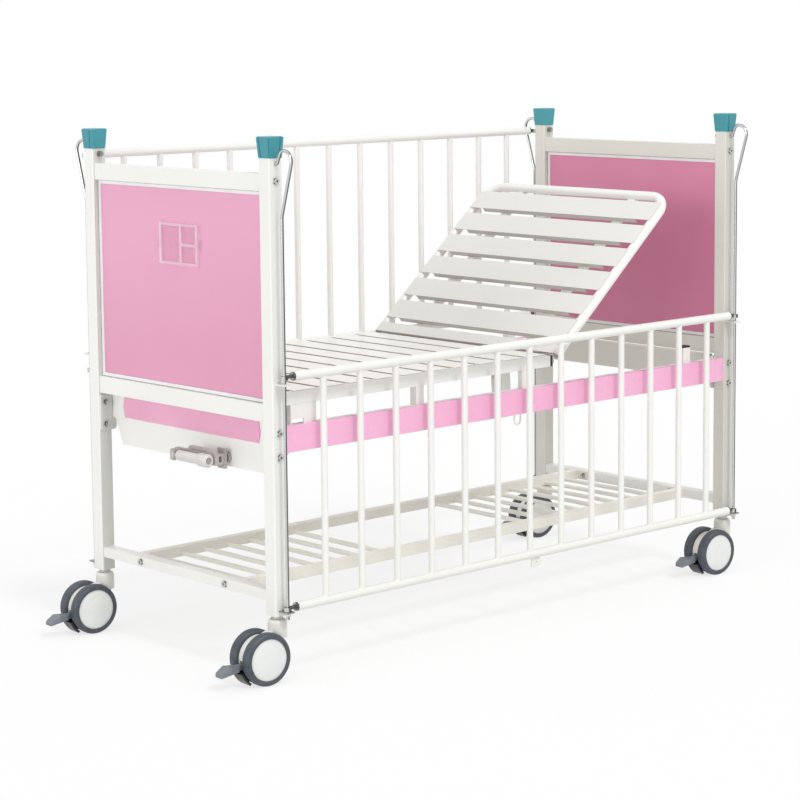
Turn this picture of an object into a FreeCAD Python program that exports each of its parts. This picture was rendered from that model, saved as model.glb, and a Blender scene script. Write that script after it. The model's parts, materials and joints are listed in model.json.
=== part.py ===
import FreeCAD, Part
import math
import operator
import os
import Sketcher
from types import SimpleNamespace

# Manual pediatric bed, in millimetres.
# Measures run from the middle of the four posts: +X to the head end, +Y to the far side, +Z up.
# At the end every sub-part moves along X by one offset, so that the origin is the middle of the footprint.

sizes = {
    # posts and bumper caps
    "bed_length": 1640, "bed_width": 720, "post_side": 38, "post_wall": 1.5, "post_round": 3,
    "post_bottom": 155, "post_top": 1217,
    "cap_height": 49, "cap_overhang": 4.5, "cap_foot_overhang": 1, "cap_top_bevel": 2.5, "cap_bevel": 2,
    "cap_rebate": 2.5, "cap_groove_place": 9.5, "cap_groove_width": 3.5, "cap_groove_depth": 1.6,
    "cap_spigot": 8, "cap_spigot_gap": 0.3,
    # foot and head boards
    "board_rail_depth": 30, "board_rail_wall": 1.5, "top_rail_drop": 76, "top_rail_height": 40,
    "low_rail_bottom": 608, "low_rail_height": 42,
    "bead_width": 10, "bead_depth": 12, "panel_thick": 8, "panel_gap": 0.3,
    # card holder on the foot panel
    "card_width": 148, "card_height": 100, "card_drop": 191, "card_middle": -5, "card_thick": 3,
    "card_rim": 7, "card_rim_depth": 4, "card_split": 62, "card_shelf": 46,
    "card_tab_width": 14, "card_tab_height": 26, "card_tab_thick": 2,
    # frame between the posts
    "strip_bottom": 536, "strip_height": 62, "strip_thick": 3, "strip_inset": 2, "strip_lip": 8,
    "strip_skin": 2,
    "beam_wall": 1.5, "end_beam_depth": 27, "end_beam_bottom": 545, "end_beam_height": 61, "head_beam_gap": 0.5,
    "apron_thick": 3, "apron_drop": 22, "apron_top": 608, "apron_shoulder": 545, "apron_shoulder_drop": 5,
    "apron_end_gap": 2, "apron_shoulder_step": 13, "apron_slant": 27, "apron_shaft_hole": 17,
    "foot_strip_bottom": 548, "foot_strip_height": 55, "foot_strip_half": 262, "foot_strip_thick": 3,
    "foot_strip_bow": 6,
    "bracket_thick": 4, "bracket_bottom": 512, "bracket_height": 90, "bracket_reach": 12,
    "bracket_inset": 2, "bracket_round": 8,
    # bolts
    "bolt_shank": 8, "bolt_hole_gap": 0.2, "bolt_head": 15, "bolt_head_height": 5, "nut_width": 13,
    "nut_height": 6.5, "bracket_bolt_low": 528, "bracket_bolt_high": 584, "rail_bolt_drop": 52,
    "rail_bolt_reach": 14, "socket_width": 6, "socket_depth": 2.5, "bolt_end": 3,
    # rods that guide the side rails
    "guide_dia": 8, "guide_out": 20, "guide_entry_drop": 13, "guide_entry_out": 6, "guide_arch_rise": 34,
    "guide_arch_out": 20, "guide_bulge_rise": 24, "guide_bulge_out": 62, "guide_slant_drop": 119,
    "guide_bottom": 150, "guide_entry_round": 7, "guide_arch_round": 16, "guide_bulge_round": 24,
    "guide_slant_round": 40, "guide_end_out": 9,
    "acorn_width": 14, "acorn_height": 7, "acorn_dome": 5,
    "tab_thick": 4, "tab_width": 22, "tab_reach": 12, "ring_tab_height": 697, "rail_seat_gap": 0.3,
    "tab_hole_gap": 0.2, "guide_nut_height": 6.5,
    # side rails
    "rail_bar_dia": 22, "rail_bar_wall": 1.5, "rail_low_height": 177, "rail_high_height": 717,
    "raised_rail_drop": 17, "upright_dia": 16, "upright_wall": 1.2, "upright_pitch": 114,
    "rail_end_gap": 6, "eye_outer": 18, "eye_gap": 0.35, "eye_height": 10, "eye_drop": 2.5,
    "stud_dia": 9, "ferrule_dia": 20, "ferrule_length": 5,
    "lug_width": 30, "lug_height": 22, "lug_thick": 4, "lug_hole": 7, "lug_middle": 20,
    # fixed part of the deck
    "deck_top": 673, "deck_half": 345, "deck_tube_width": 25, "deck_tube_height": 28, "deck_tube_wall": 1.5,
    "deck_foot_gap": 7, "deck_hinge_end": 112, "deck_cross_width": 33,
    "slat_thick": 1.5, "slat_width": 74.2, "slat_pitch": 86.2, "slat_drop": 12, "slat_half": 330,
    "slat_lip_gap": 1, "first_gap_place": 38.2, "slat_end_gap": 2,
    "plug_rim": 3, "hinge_plug_rim": 8, "plug_depth": 14, "plug_gap": 0.3,
    # legs that carry the deck on the side beams
    "foot_leg_inset": 21, "foot_leg_width": 79, "foot_leg_thick": 4, "foot_leg_notch": 36,
    "foot_leg_notch_height": 13, "leg_depth": 22, "leg_wall": 2, "middle_leg_place": 343,
    "middle_leg_width": 26,
    "pivot_leg_place": 28, "pivot_leg_width": 39, "pivot_leg_depth": 14, "pivot_leg_hole": 7,
    "pivot_leg_hole_drop": 10, "rest_reach": 516, "rest_width": 28, "rest_plug": 5, "rest_gap": 0.3,
    # raised part of the deck
    "hinge_place": 128, "hinge_drop": 16, "back_length": 610, "back_half": 350, "back_tube": 25,
    "back_tube_wall": 1.5, "back_corner": 62, "back_angle": 41,
    "back_slat_gap": 0.5, "back_slat_half": 340, "back_first_gap": 55.5, "back_pitch": 86.5,
    "back_gap_width": 20.5, "back_slat_drop": 15,
    "runner_place": 210, "runner_width": 25, "runner_depth": 12, "runner_wall": 1.5,
    "hinge_plate_thick": 6, "hinge_plate_radius": 12, "hinge_plate_length": 68, "hinge_pin": 12,
    "hinge_pin_gap": 0.05, "hinge_side_gap": 0.3, "hinge_pin_length": 40, "hinge_web_end": 48,
    "hinge_web_start": 15, "hinge_web_thick": 8,
    # lever, push tube, screw and crank that tilt the backrest
    "drive_side": 145, "drive_drop": 45, "lever_radius": 110, "lever_middle_angle": 37.5,
    "lever_width": 33, "lever_depth": 38, "lever_plate": 4, "lever_web_length": 52, "lever_end": 16,
    "lever_pin": 12, "lever_pin_gap": 0.05, "lever_pin_head": 18, "lever_pin_head_height": 4,
    "slot_side_gap": 1.8, "slot_end_gap": 2.5, "head_plate": 8, "head_width": 42, "head_edge": 13,
    "push_dia": 28, "push_wall": 2.5, "push_inset": 142, "push_end_gap": 30, "nut_dia": 38, "nut_length": 34,
    "screw_dia": 16, "screw_gap": 0.08, "screw_inset": 262, "thread_groove": 1.2, "thread_pitch": 6,
    "thread_land_share": 0.5, "thread_inset": 47, "collar_dia": 26, "collar_length": 6, "collar_gap": 0.3,
    "bearing_dia": 36, "bearing_length": 38, "bearing_flange": 44, "bearing_flange_thick": 4,
    "front_plate_dia": 27, "front_plate_thick": 3,
    "yoke_reach": 22, "yoke_length": 20, "yoke_side": 26, "yoke_slot": 8, "yoke_slot_height": 14,
    "yoke_plate_height": 48, "yoke_plate_width": 28, "yoke_plate_thick": 7,
    "arm_thick": 8, "arm_half": 13.5, "arm_rise": 24, "arm_rise_end": 84, "arm_end_reach": 13,
    "arm_groove": 2.5, "arm_groove_rise": 15, "arm_groove_start": 22, "arm_groove_length": 56,
    "rivet_dia": 9, "rivet_height": 1.5, "crank_throw": 123, "fork_height": 24, "ear_thick": 4,
    "ear_gap": 0.3, "ear_reach": 18,
    "fold_pin": 6, "fold_pin_gap": 0.05, "fold_pin_head": 10, "fold_pin_head_height": 2, "spindle_eye": 18,
    "spindle_dia": 10, "grip_dia": 25, "grip_start": 17, "grip_length": 119, "grip_gap": 0.4,
    "grip_end_gap": 0.4, "grip_head_dia": 11.5, "grip_head_height": 3, "grip_round": 4, "grip_groove": 1.5,
    "grip_boss": 32, "grip_boss_length": 36, "grip_recess": 16, "grip_recess_depth": 5,
    # storage rack under the deck
    "rack_bottom": 189, "rack_tube": 25, "rack_wall": 1.5, "rack_half": 213, "cross_depth": 30,
    "rack_slat_dia": 12, "rack_slat_rise": 1.5, "rack_slat_pitch": 73, "rack_foot_inset": 59,
    "rack_head_slat": 210, "rack_tab_thick": 4, "rack_tab_reach": 38, "rack_bolt_side": 166,
    # drainage bag hooks
    "hook_wire": 4, "hook_width": 22, "hook_drop": 30, "hook_place": 8, "hook_inset": 11,
    "hook_bottom_run": 0.8,
    # castors
    "wheel_dia": 125, "wheel_half": 40, "wheel_inner": 12.5, "disc_dia": 99, "castor_trail": 50,
    "castor_angle": 5, "tyre_round": 9, "disc_recess": 3, "disc_dome": 4, "axle_dia": 12, "axle_gap": 0.05,
    "web_half": 11.5, "web_radius": 52, "neck_link": 17, "neck_dia": 46, "neck_bottom": 104,
    "neck_top": 147, "neck_round": 9, "swivel_gap": 0.3, "stem_dia": 28, "stem_pin": 14, "stem_pin_gap": 0.05,
    "stem_pin_length": 30, "stem_plug_gap": 0.3, "stem_plug_length": 40,
    "pedal_tip": 168.5, "pedal_half": 19, "pedal_corner": 6, "pedal_middle": 142, "pedal_start": 117,
    "pedal_root_half": 14, "pedal_height": 53, "pedal_thick": 12, "pedal_crown": 1, "pedal_belly": 2,
    "pedal_droop": 13, "pedal_tip_thick": 8, "pedal_round": 9, "pedal_edge": 3,
    "pedal_pivot_out": 94, "pedal_pivot_height": 50,
    "pedal_arm_half": 8, "pedal_pin": 6, "pedal_pin_gap": 0.05, "pedal_cheek_gap": 0.3,
    "pedal_slot_reach": 10, "pedal_slot_drop": 17, "pedal_hub": 6, "pedal_lip": 8, "shoe_half": 19,
    "shoe_thick": 6, "shoe_gap": 2, "shoe_start": 24, "shoe_sweep": 31, "shoe_arm_inset": 4,
    "link_sink": 4.25,
    "wheel_clearance": 1,
}

upright_count = 13
deck_slat_count = 9
back_slat_count = 6
rack_foot_count = 7
rack_head_count = 8
thread_count = 34

# How far a cosine may be from one for an edge to count as parallel, as a share of it
parallel_share = 1e-6

doc = FreeCAD.newDocument("PediatricBed")
sheet = doc.addObject("Spreadsheet::Sheet", "Sizes")
for row, (alias, value) in enumerate(sizes.items(), 1):
    sheet.set(f"A{row}", alias)
    sheet.set(f"B{row}", str(value))
    sheet.setAlias(f"B{row}", alias)
doc.recompute()


# A length that knows both its value and its expression in the sheet
class Size:
    def __init__(self, value, text):
        self.value = float(value)
        self.text = text

    def __add__(self, other):
        return combined(self, other, "+", operator.add)

    def __radd__(self, other):
        return combined(other, self, "+", operator.add)

    def __sub__(self, other):
        return combined(self, other, "-", operator.sub)

    def __rsub__(self, other):
        return combined(other, self, "-", operator.sub)

    def __mul__(self, other):
        return combined(self, other, "*", operator.mul)

    def __rmul__(self, other):
        return combined(other, self, "*", operator.mul)

    def __truediv__(self, other):
        return combined(self, other, "/", operator.truediv)

    def __neg__(self):
        return combined(0, self, "-", operator.sub)


def sized(value):
    return value if isinstance(value, Size) else Size(value, repr(value))


def combined(left, right, sign, function):
    left, right = sized(left), sized(right)
    return Size(function(left.value, right.value), f"({left.text} {sign} {right.text})")


def sine(angle):
    angle = sized(angle)
    return Size(math.sin(math.radians(angle.value)), f"sin({angle.text} * 1 deg)")


def cosine(angle):
    angle = sized(angle)
    return Size(math.cos(math.radians(angle.value)), f"cos({angle.text} * 1 deg)")


s = SimpleNamespace(**{name: Size(value, f"Sizes.{name}") for name, value in sizes.items()})


# Places that several sub-parts share
post_x = (s.bed_length - s.post_side) / 2
post_y = (s.bed_width - s.post_side) / 2
inner_x = s.bed_length / 2 - s.post_side
inner_y = s.bed_width / 2 - s.post_side
outer_y = s.bed_width / 2
guide_y = outer_y + s.guide_out
strip_top = s.strip_bottom + s.strip_height
top_rail_low = s.post_top - s.top_rail_drop
guide_entry = s.post_top - s.guide_entry_drop
rail_lift = s.post_top - s.raised_rail_drop - s.rail_high_height
beam_bottom = s.strip_bottom + s.strip_skin
beam_top = strip_top - s.strip_skin
beam_outer = outer_y - s.strip_inset - s.strip_thick
deck_bottom = s.deck_top - s.slat_thick - s.deck_tube_height
deck_inner = s.deck_half - s.deck_tube_width
hinge_height = s.deck_top - s.hinge_drop
hinge_plate_inner = deck_inner - s.hinge_plate_thick
rack_inner = s.rack_half - s.rack_tube
drive_y = -s.drive_side
drive_height = s.end_beam_bottom - s.drive_drop
apron_bottom = drive_height - s.apron_drop
deck_foot_end = inner_x - s.deck_foot_gap
foot_leg_low = deck_foot_end - s.foot_leg_inset
foot_leg_high = foot_leg_low - s.foot_leg_width
rest_place = s.hinge_place + s.rest_reach
push_start = inner_x - s.push_inset
screw_end = inner_x - s.screw_inset
thread_start = inner_x - s.thread_inset
yoke_start = inner_x + s.yoke_reach
rack_foot_slat = post_x - s.rack_foot_inset
lever_rest = s.back_angle - s.lever_middle_angle
low_tab_top = s.rail_low_height - s.eye_drop - s.eye_height / 2 - s.rail_seat_gap
pedal_front = s.pedal_half - s.pedal_corner
foot_reach = post_x + s.pedal_tip * cosine(s.castor_angle) + pedal_front * sine(s.castor_angle)
head_reach = s.bed_length / 2 + s.cap_overhang
origin_shift = (foot_reach - head_reach) / 2
ends = (("foot", -1), ("head", 1))
sides = (("near", -1), ("far", 1))
subparts = []


def bind(thing, name, value):
    thing.setExpression(name, sized(value).text)


# Moves an object to a place, after an optional turn about an axis by a fixed or a bound angle
def place(thing, base, axis=None, angle=0):
    if axis is not None:
        turn = FreeCAD.Rotation(FreeCAD.Vector(*axis), sized(angle).value)
        thing.Placement = FreeCAD.Placement(FreeCAD.Vector(), turn)
        if isinstance(angle, Size):
            bind(thing, "Placement.Rotation.Angle", angle)
    for letter, value in zip("xyz", base):
        bind(thing, f"Placement.Base.{letter}", value)
    return thing


def block(name, size, corner):
    solid = doc.addObject("Part::Box", name)
    for side, value in zip(("Length", "Width", "Height"), size):
        bind(solid, side, value)
    return place(solid, corner)


# A block given by the two ends of its reach along each axis
def span(name, x, y, z):
    size = [high - low for low, high in (x, y, z)]
    return block(name, size, [low for low, high in (x, y, z)])


quarter_turns = {"X": ((0, 1, 0), 90), "Y": ((1, 0, 0), -90), "Z": (None, 0)}


def rod(name, diameter, length, start, axis="Z"):
    solid = doc.addObject("Part::Cylinder", name)
    bind(solid, "Radius", diameter / 2)
    bind(solid, "Height", length)
    return place(solid, start, *quarter_turns[axis])


def group(name, *solids):
    compound = doc.addObject("Part::Compound", name)
    compound.Links = list(solids)
    return compound


def join(name, *solids):
    union = doc.addObject("Part::MultiFuse", name)
    union.Shapes = list(solids)
    union.Refine = True
    return union


def cut(name, base, *tools):
    rest = doc.addObject("Part::Cut", name)
    rest.Base = base
    rest.Tool = tools[0] if len(tools) == 1 else group(f"{name}_tools", *tools)
    return rest


def overlap(name, first, second):
    shared = doc.addObject("Part::Common", name)
    shared.Base, shared.Tool = first, second
    return shared


def pipe(name, outer, wall, length, start, axis="Z"):
    bore = rod(f"{name}_bore", outer - 2 * wall, length, start, axis)
    return cut(name, rod(f"{name}_outer", outer, length, start, axis), bore)


def washer(name, outer, bore, length, start, axis="Z"):
    hole = rod(f"{name}_bore", bore, length, start, axis)
    return cut(name, rod(f"{name}_outer", outer, length, start, axis), hole)


# A square or rectangular tube along one axis, open at its ends
def box_tube(name, x, y, z, wall, axis):
    reach = {"X": x, "Y": y, "Z": z}
    inner = {key: (low + wall, high - wall) for key, (low, high) in reach.items()}
    inner[axis] = reach[axis]
    return cut(name, span(f"{name}_outer", x, y, z), span(f"{name}_bore", *inner.values()))


def nut(name, width, height, start, axis="Z"):
    solid = doc.addObject("Part::Prism", name)
    solid.Polygon = 6
    bind(solid, "Circumradius", width / (2 * cosine(30)))
    bind(solid, "Height", height)
    return place(solid, start, *quarter_turns[axis])


def origin_plane(body, role):
    return next(item for item in body.Origin.OriginFeatures if item.Role == role)


# A closed outline at a level above its plane, with each corner held by its two distances from the origin
def outline(body, plane, loops, level=0):
    sketch = body.newObject("Sketcher::SketchObject", f"{body.Name}_sketch")
    sketch.AttachmentSupport = (origin_plane(body, plane), [""])
    sketch.MapMode = "FlatFace"
    bind(sketch, "AttachmentOffset.Base.z", level)
    for loop in loops:
        first = sketch.GeometryCount
        corners = [FreeCAD.Vector(sized(u).value, sized(v).value, 0) for u, v in loop]
        count = len(corners)
        for index in range(count):
            sketch.addGeometry(Part.LineSegment(corners[index], corners[(index + 1) % count]), False)
        for index in range(count):
            following = first + (index + 1) % count
            sketch.addConstraint(Sketcher.Constraint("Coincident", first + index, 2, following, 1))
        for index, corner in enumerate(loop):
            for kind, value in zip(("DistanceX", "DistanceY"), corner):
                limit = Sketcher.Constraint(kind, -1, 1, first + index, 1, sized(value).value)
                number = sketch.addConstraint(limit)
                bind(sketch, f"Constraints[{number}]", value)
    return sketch


# A body padded to both sides of its sketch plane
def plate(name, plane, loops, thickness, base=(0, 0, 0)):
    body = doc.addObject("PartDesign::Body", name)
    sketch = outline(body, plane, loops)
    pad = body.newObject("PartDesign::Pad", f"{name}_pad")
    pad.Profile = sketch
    pad.Midplane = True
    bind(pad, "Length", thickness)
    place(body, base)
    doc.recompute()
    return body


# A body with flat faces between like outlines at several levels
def lofted(name, loops, levels):
    body = doc.addObject("PartDesign::Body", name)
    sketches = [outline(body, "XY_Plane", [loop], level) for loop, level in zip(loops, levels)]
    loft = body.newObject("PartDesign::AdditiveLoft", f"{name}_loft")
    loft.Profile = sketches[0]
    loft.Sections = sketches[1:]
    loft.Ruled = True
    doc.recompute()
    return body


# A body turned about the vertical axis of its sketch, given by radius and height
def turned(name, profile, base=(0, 0, 0), axis=None, angle=0):
    body = doc.addObject("PartDesign::Body", name)
    sketch = outline(body, "XZ_Plane", [profile])
    solid = body.newObject("PartDesign::Revolution", f"{name}_turn")
    solid.Profile = sketch
    solid.ReferenceAxis = (sketch, ["V_Axis"])
    solid.Angle = 360
    place(body, base, axis, angle)
    doc.recompute()
    return body


def edge_names(shape, wanted):
    return [f"Edge{number}" for number, edge in enumerate(shape.Edges, 1) if wanted(edge)]


# Rounds or bevels the edges of a body's last feature that pass a test
def dress(body, kind, size, wanted):
    base = body.Tip
    feature = body.newObject(f"PartDesign::{kind}", f"{body.Name}_{kind.lower()}")
    feature.Base = (base, edge_names(base.Shape, wanted))
    bind(feature, "Radius" if kind == "Fillet" else "Size", size)
    body.Tip = feature
    doc.recompute()
    return body


def runs_along(edge, direction):
    if edge.Curve.TypeId != "Part::GeomLine":
        return False
    cosine_between = edge.tangentAt(edge.FirstParameter).dot(FreeCAD.Vector(*direction))
    return 1 - abs(cosine_between) < parallel_share


# Whether an edge is a ring beyond a radius and above a height
def is_ring(edge, radius, height):
    if edge.Curve.TypeId != "Part::GeomCircle":
        return False
    return edge.Curve.Radius > sized(radius).value and edge.CenterOfMass.z > sized(height).value


# Whether an edge lies clearly beyond a distance to the left of its body's origin
def is_left_of(edge, distance):
    return edge.CenterOfMass.x < -sized(distance).value * (1 + parallel_share)


# Straight runs joined by tangent arcs, through corners given as points and their radii
def bent_path(points, radii):
    corners = [FreeCAD.Vector(*[sized(value).value for value in point]) for point in points]
    edges = []
    start = corners[0]
    for before, corner, after, radius in zip(corners, corners[1:], corners[2:], radii):
        come, go = (corner - before).normalize(), (after - corner).normalize()
        turn = come.getAngle(go)
        reach = sized(radius).value * math.tan(turn / 2)
        inward = (go - come).normalize()
        middle = corner + inward * (sized(radius).value / math.cos(turn / 2) - sized(radius).value)
        edges.append(Part.LineSegment(start, corner - come * reach).toShape())
        edges.append(Part.Arc(corner - come * reach, middle, corner + go * reach).toShape())
        start = corner + go * reach
    edges.append(Part.LineSegment(start, corners[-1]).toShape())
    return Part.Wire(edges)


def bent_solid(path, radius):
    first = path.Edges[0]
    direction = first.tangentAt(first.FirstParameter)
    circle = Part.Wire(Part.makeCircle(radius, first.valueAt(first.FirstParameter), direction))
    return path.makePipeShell([circle], True, True)


def bent_bar(name, diameter, points, radii, wall=None):
    bar = doc.addObject("Part::Feature", name)
    path = bent_path(points, radii)
    shape = bent_solid(path, sized(diameter).value / 2)
    if wall is not None:
        shape = shape.cut(bent_solid(path, sized(diameter).value / 2 - sized(wall).value))
    bar.Shape = shape
    return bar


# Names a finished sub-part and moves it by the origin's offset
def finish(thing, label, base=(0, 0, 0), axis=None, angle=0):
    thing.Label = label
    place(thing, (base[0] + origin_shift, base[1], base[2]), axis, angle)
    subparts.append(thing)
    return thing


def ordered(first, second):
    first, second = sized(first), sized(second)
    return (first, second) if first.value < second.value else (second, first)


# Posts: square tubes with rounded corners and holes for their bolts and rods
def make_post(end, sign_x, side, sign_y):
    name = f"{end}_{side}_post"
    half = s.post_side / 2
    bore = half - s.post_wall
    rings = [[(-edge, -edge), (edge, -edge), (edge, edge), (-edge, edge)] for edge in (half, bore)]
    body = plate(f"{name}_tube", "XY_Plane", rings, s.post_top - s.post_bottom)
    inside = (half - s.post_wall / 2).value

    def at_corner(edge):
        return runs_along(edge, (0, 0, 1)) and min(abs(edge.Vertexes[0].X), abs(edge.Vertexes[0].Y)) > inside

    dress(body, "Fillet", s.post_round, at_corner)
    x, y = sign_x * post_x, sign_y * post_y
    place(body, (x, y, (s.post_top + s.post_bottom) / 2))
    start = y - s.post_side
    hole = s.bolt_shank + 2 * s.bolt_hole_gap
    heights = (s.bracket_bolt_low, s.bracket_bolt_high, s.post_top - s.rail_bolt_drop, guide_entry)
    tools = [rod(f"{name}_hole{number}", hole, 2 * s.post_side, (x, start, height), "Y")
             for number, height in enumerate(heights)]
    return finish(cut(name, body, *tools), name)


def make_posts():
    for end, sign_x in ends:
        for side, sign_y in sides:
            make_post(end, sign_x, side, sign_y)


# A cap's outline: a groove in both outer faces, a rebate along the outer corner and three bevelled corners
def cap_outline(half, sign_x, sign_y):
    bevel, rebate = s.cap_bevel, half - s.cap_rebate
    near = s.cap_groove_place - half
    far, floor = near + s.cap_groove_width, half - s.cap_groove_depth
    shape = [(half - bevel, -half), (half, bevel - half), (half, near), (floor, near), (floor, far),
             (half, far), (half, rebate), (rebate, rebate), (rebate, half), (far, half), (far, floor),
             (near, floor), (near, half), (bevel - half, half), (-half, half - bevel), (-half, bevel - half),
             (bevel - half, -half)]
    return [(sign_x * u, sign_y * v) for u, v in shape]


# Bumper caps: square caps that widen upward to a bevelled top, with a spigot in the post
def make_cap(name, sign_x, sign_y):
    low_half = s.post_side / 2 + s.cap_foot_overhang
    half = s.post_side / 2 + s.cap_overhang
    loops = [cap_outline(value, sign_x, sign_y) for value in (low_half, half, half - s.cap_top_bevel)]
    body = lofted(f"{name}_body", loops, (0, s.cap_height - s.cap_top_bevel, s.cap_height))
    place(body, (sign_x * post_x, sign_y * post_y, s.post_top))
    spigot_half = s.post_side / 2 - s.post_wall - s.cap_spigot_gap
    spigot = span(f"{name}_spigot", (sign_x * post_x - spigot_half, sign_x * post_x + spigot_half),
                  (sign_y * post_y - spigot_half, sign_y * post_y + spigot_half),
                  (s.post_top - s.cap_spigot, s.post_top))
    return join(name, body, spigot)


def make_caps():
    caps = [make_cap(f"cap_{end}_{side}", sign_x, sign_y) for end, sign_x in ends for side, sign_y in sides]
    finish(group("bumper_caps", *caps), "bumper_caps")


# Foot and head boards: a top and a low rail between the posts, with a beaded panel between them
def make_boards():
    half = s.board_rail_depth / 2
    panel_low = s.low_rail_bottom + s.low_rail_height
    for end, sign in ends:
        x = (sign * post_x - half, sign * post_x + half)
        y = (-inner_y, inner_y)
        heights = {"top_rail": (top_rail_low, top_rail_low + s.top_rail_height),
                   "bottom_rail": (s.low_rail_bottom, panel_low)}
        for piece, z in heights.items():
            name = f"{end}_{piece}"
            rail = box_tube(f"{name}_tube", x, y, z, s.board_rail_wall, "Y")
            finish(group(name, rail), name)
        name = f"{end}_panel"
        gap = s.bead_width + s.panel_gap
        panel = span(f"{name}_board", (sign * post_x - s.panel_thick / 2, sign * post_x + s.panel_thick / 2),
                     (gap - inner_y, inner_y - gap), (panel_low + gap, top_rail_low - gap))
        finish(group(name, panel), name)
    rings = []
    for end, sign in ends:
        x = (sign * post_x - s.bead_depth / 2, sign * post_x + s.bead_depth / 2)
        outer = span(f"{end}_bead_outer", x, (-inner_y, inner_y), (panel_low, top_rail_low))
        inner = span(f"{end}_bead_inner", x, (s.bead_width - inner_y, inner_y - s.bead_width),
                     (panel_low + s.bead_width, top_rail_low - s.bead_width))
        rings.append(cut(f"{end}_bead", outer, inner))
    finish(group("panel_beadings", *rings), "panel_beadings")


# Card holder: a clear pocket with a raised rim, two windows and two side tabs
def make_card_holder():
    name = "card_holder"
    face = -post_x - s.panel_thick / 2
    left, right = s.card_middle - s.card_width / 2, s.card_middle + s.card_width / 2
    bottom = top_rail_low - s.card_drop
    top = bottom + s.card_height
    back = span(f"{name}_back", (face - s.card_thick, face), (left, right), (bottom, top))
    front = (face - s.card_thick - s.card_rim_depth, face - s.card_thick)
    rim = span(f"{name}_rim", front, (left, right), (bottom, top))
    split = left + s.card_split
    shelf = bottom + s.card_shelf
    windows = [((left + s.card_rim, split), (bottom + s.card_rim, shelf)),
               ((left + s.card_rim, split), (shelf + s.card_rim, top - s.card_rim)),
               ((split + s.card_rim, right - s.card_rim), (bottom + s.card_rim, top - s.card_rim))]
    tools = [span(f"{name}_window", front, y, z) for y, z in windows]
    middle = bottom + s.card_height / 2
    tabs = [span(f"{name}_tab", (face - s.card_tab_thick, face), y,
                 (middle - s.card_tab_height / 2, middle + s.card_tab_height / 2))
            for y in ((left - s.card_tab_width, left), (right, right + s.card_tab_width))]
    finish(join(name, back, cut(f"{name}_frame", rim, *tools), *tabs), name)


# Foot end beam: a tube between the corner brackets with an apron plate that hangs below it
def make_foot_end_beam():
    name = "foot_end_beam"
    half = inner_y - s.bracket_thick
    back = s.apron_thick - inner_x
    tube = box_tube(f"{name}_tube", (back, back + s.end_beam_depth), (-half, half),
                    (s.end_beam_bottom, s.end_beam_bottom + s.end_beam_height), s.beam_wall, "Y")
    top = half - s.apron_end_gap
    shoulder = top - s.apron_shoulder_step
    low = shoulder - s.apron_slant
    right = [(low, apron_bottom), (shoulder, s.apron_shoulder - s.apron_shoulder_drop),
             (top, s.apron_shoulder), (top, s.apron_top)]
    shape = right + [(-y, z) for y, z in reversed(right)]
    apron = plate(f"{name}_apron", "YZ_Plane", [shape], s.apron_thick, (back - s.apron_thick / 2, 0, 0))
    hole = rod(f"{name}_hole", s.apron_shaft_hole, s.apron_thick, (-inner_x, drive_y, drive_height), "X")
    finish(join(name, tube, cut(f"{name}_plate", apron, hole)), name)


def make_foot_end_strip():
    name = "foot_end_strip"
    top, half = s.foot_strip_bottom + s.foot_strip_height, s.foot_strip_half
    middle = s.foot_strip_bottom + s.foot_strip_height / 2
    shape = [(-half, s.foot_strip_bottom), (half, s.foot_strip_bottom), (half + s.foot_strip_bow, middle),
             (half, top), (-half, top), (-half - s.foot_strip_bow, middle)]
    body = plate(name, "YZ_Plane", [shape], s.foot_strip_thick)
    finish(body, name, (-inner_x - s.foot_strip_thick / 2, 0, 0))


def make_head_end_beam():
    name = "head_end_beam"
    half = inner_y - s.bracket_thick
    tube = box_tube(f"{name}_tube", (inner_x - s.end_beam_depth, inner_x), (-half, half),
                    (beam_bottom, s.low_rail_bottom - s.head_beam_gap), s.beam_wall, "Y")
    finish(group(name, tube), name)


# Side beams between the ends, each under a folded cover strip
def make_sides():
    beams, strips = [], []
    for side, sign in sides:
        y = ordered(sign * inner_y, sign * beam_outer)
        z = (beam_bottom, beam_top)
        beams.append(box_tube(f"{side}_beam", (-inner_x, inner_x), y, z, s.beam_wall, "X"))
        outer = outer_y - s.strip_inset
        y = ordered(sign * (beam_outer - s.strip_lip), sign * outer)
        cover = span(f"{side}_strip_cover", (-inner_x, inner_x), y, (s.strip_bottom, strip_top))
        y = ordered(sign * (beam_outer - s.strip_lip), sign * beam_outer)
        hollow = span(f"{side}_strip_bore", (-inner_x, inner_x), y, z)
        strips.append(cut(f"{side}_strip", cover, hollow))
    finish(group("side_beams", *beams), "side_beams")
    finish(group("side_strips", *strips), "side_strips")


# Corner brackets: rounded plates on the inner faces of the posts, bolted through them
def make_brackets():
    plates = []
    low, high = s.bracket_inset - s.bed_length / 2, s.bracket_reach - inner_x
    for end, sign_x in ends:
        for side, sign_y in sides:
            name = f"{end}_{side}_bracket"
            x = ordered(-sign_x * low, -sign_x * high)
            z = (s.bracket_bottom, s.bracket_bottom + s.bracket_height)
            shape = [(x[0], z[0]), (x[1], z[0]), (x[1], z[1]), (x[0], z[1])]
            body = plate(f"{name}_plate", "XZ_Plane", [shape], s.bracket_thick)
            dress(body, "Fillet", s.bracket_round, lambda edge: runs_along(edge, (0, 1, 0)))
            place(body, (0, sign_y * (inner_y - s.bracket_thick / 2), 0))
            hole = s.bolt_shank + 2 * s.bolt_hole_gap
            start = sign_y * (inner_y - s.bracket_thick / 2) - s.bracket_thick
            tools = [rod(f"{name}_hole", hole, 2 * s.bracket_thick, (sign_x * post_x, start, height), "Y")
                     for height in (s.bracket_bolt_low, s.bracket_bolt_high)]
            plates.append(cut(name, body, *tools))
    finish(group("corner_brackets", *plates), "corner_brackets")


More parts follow.
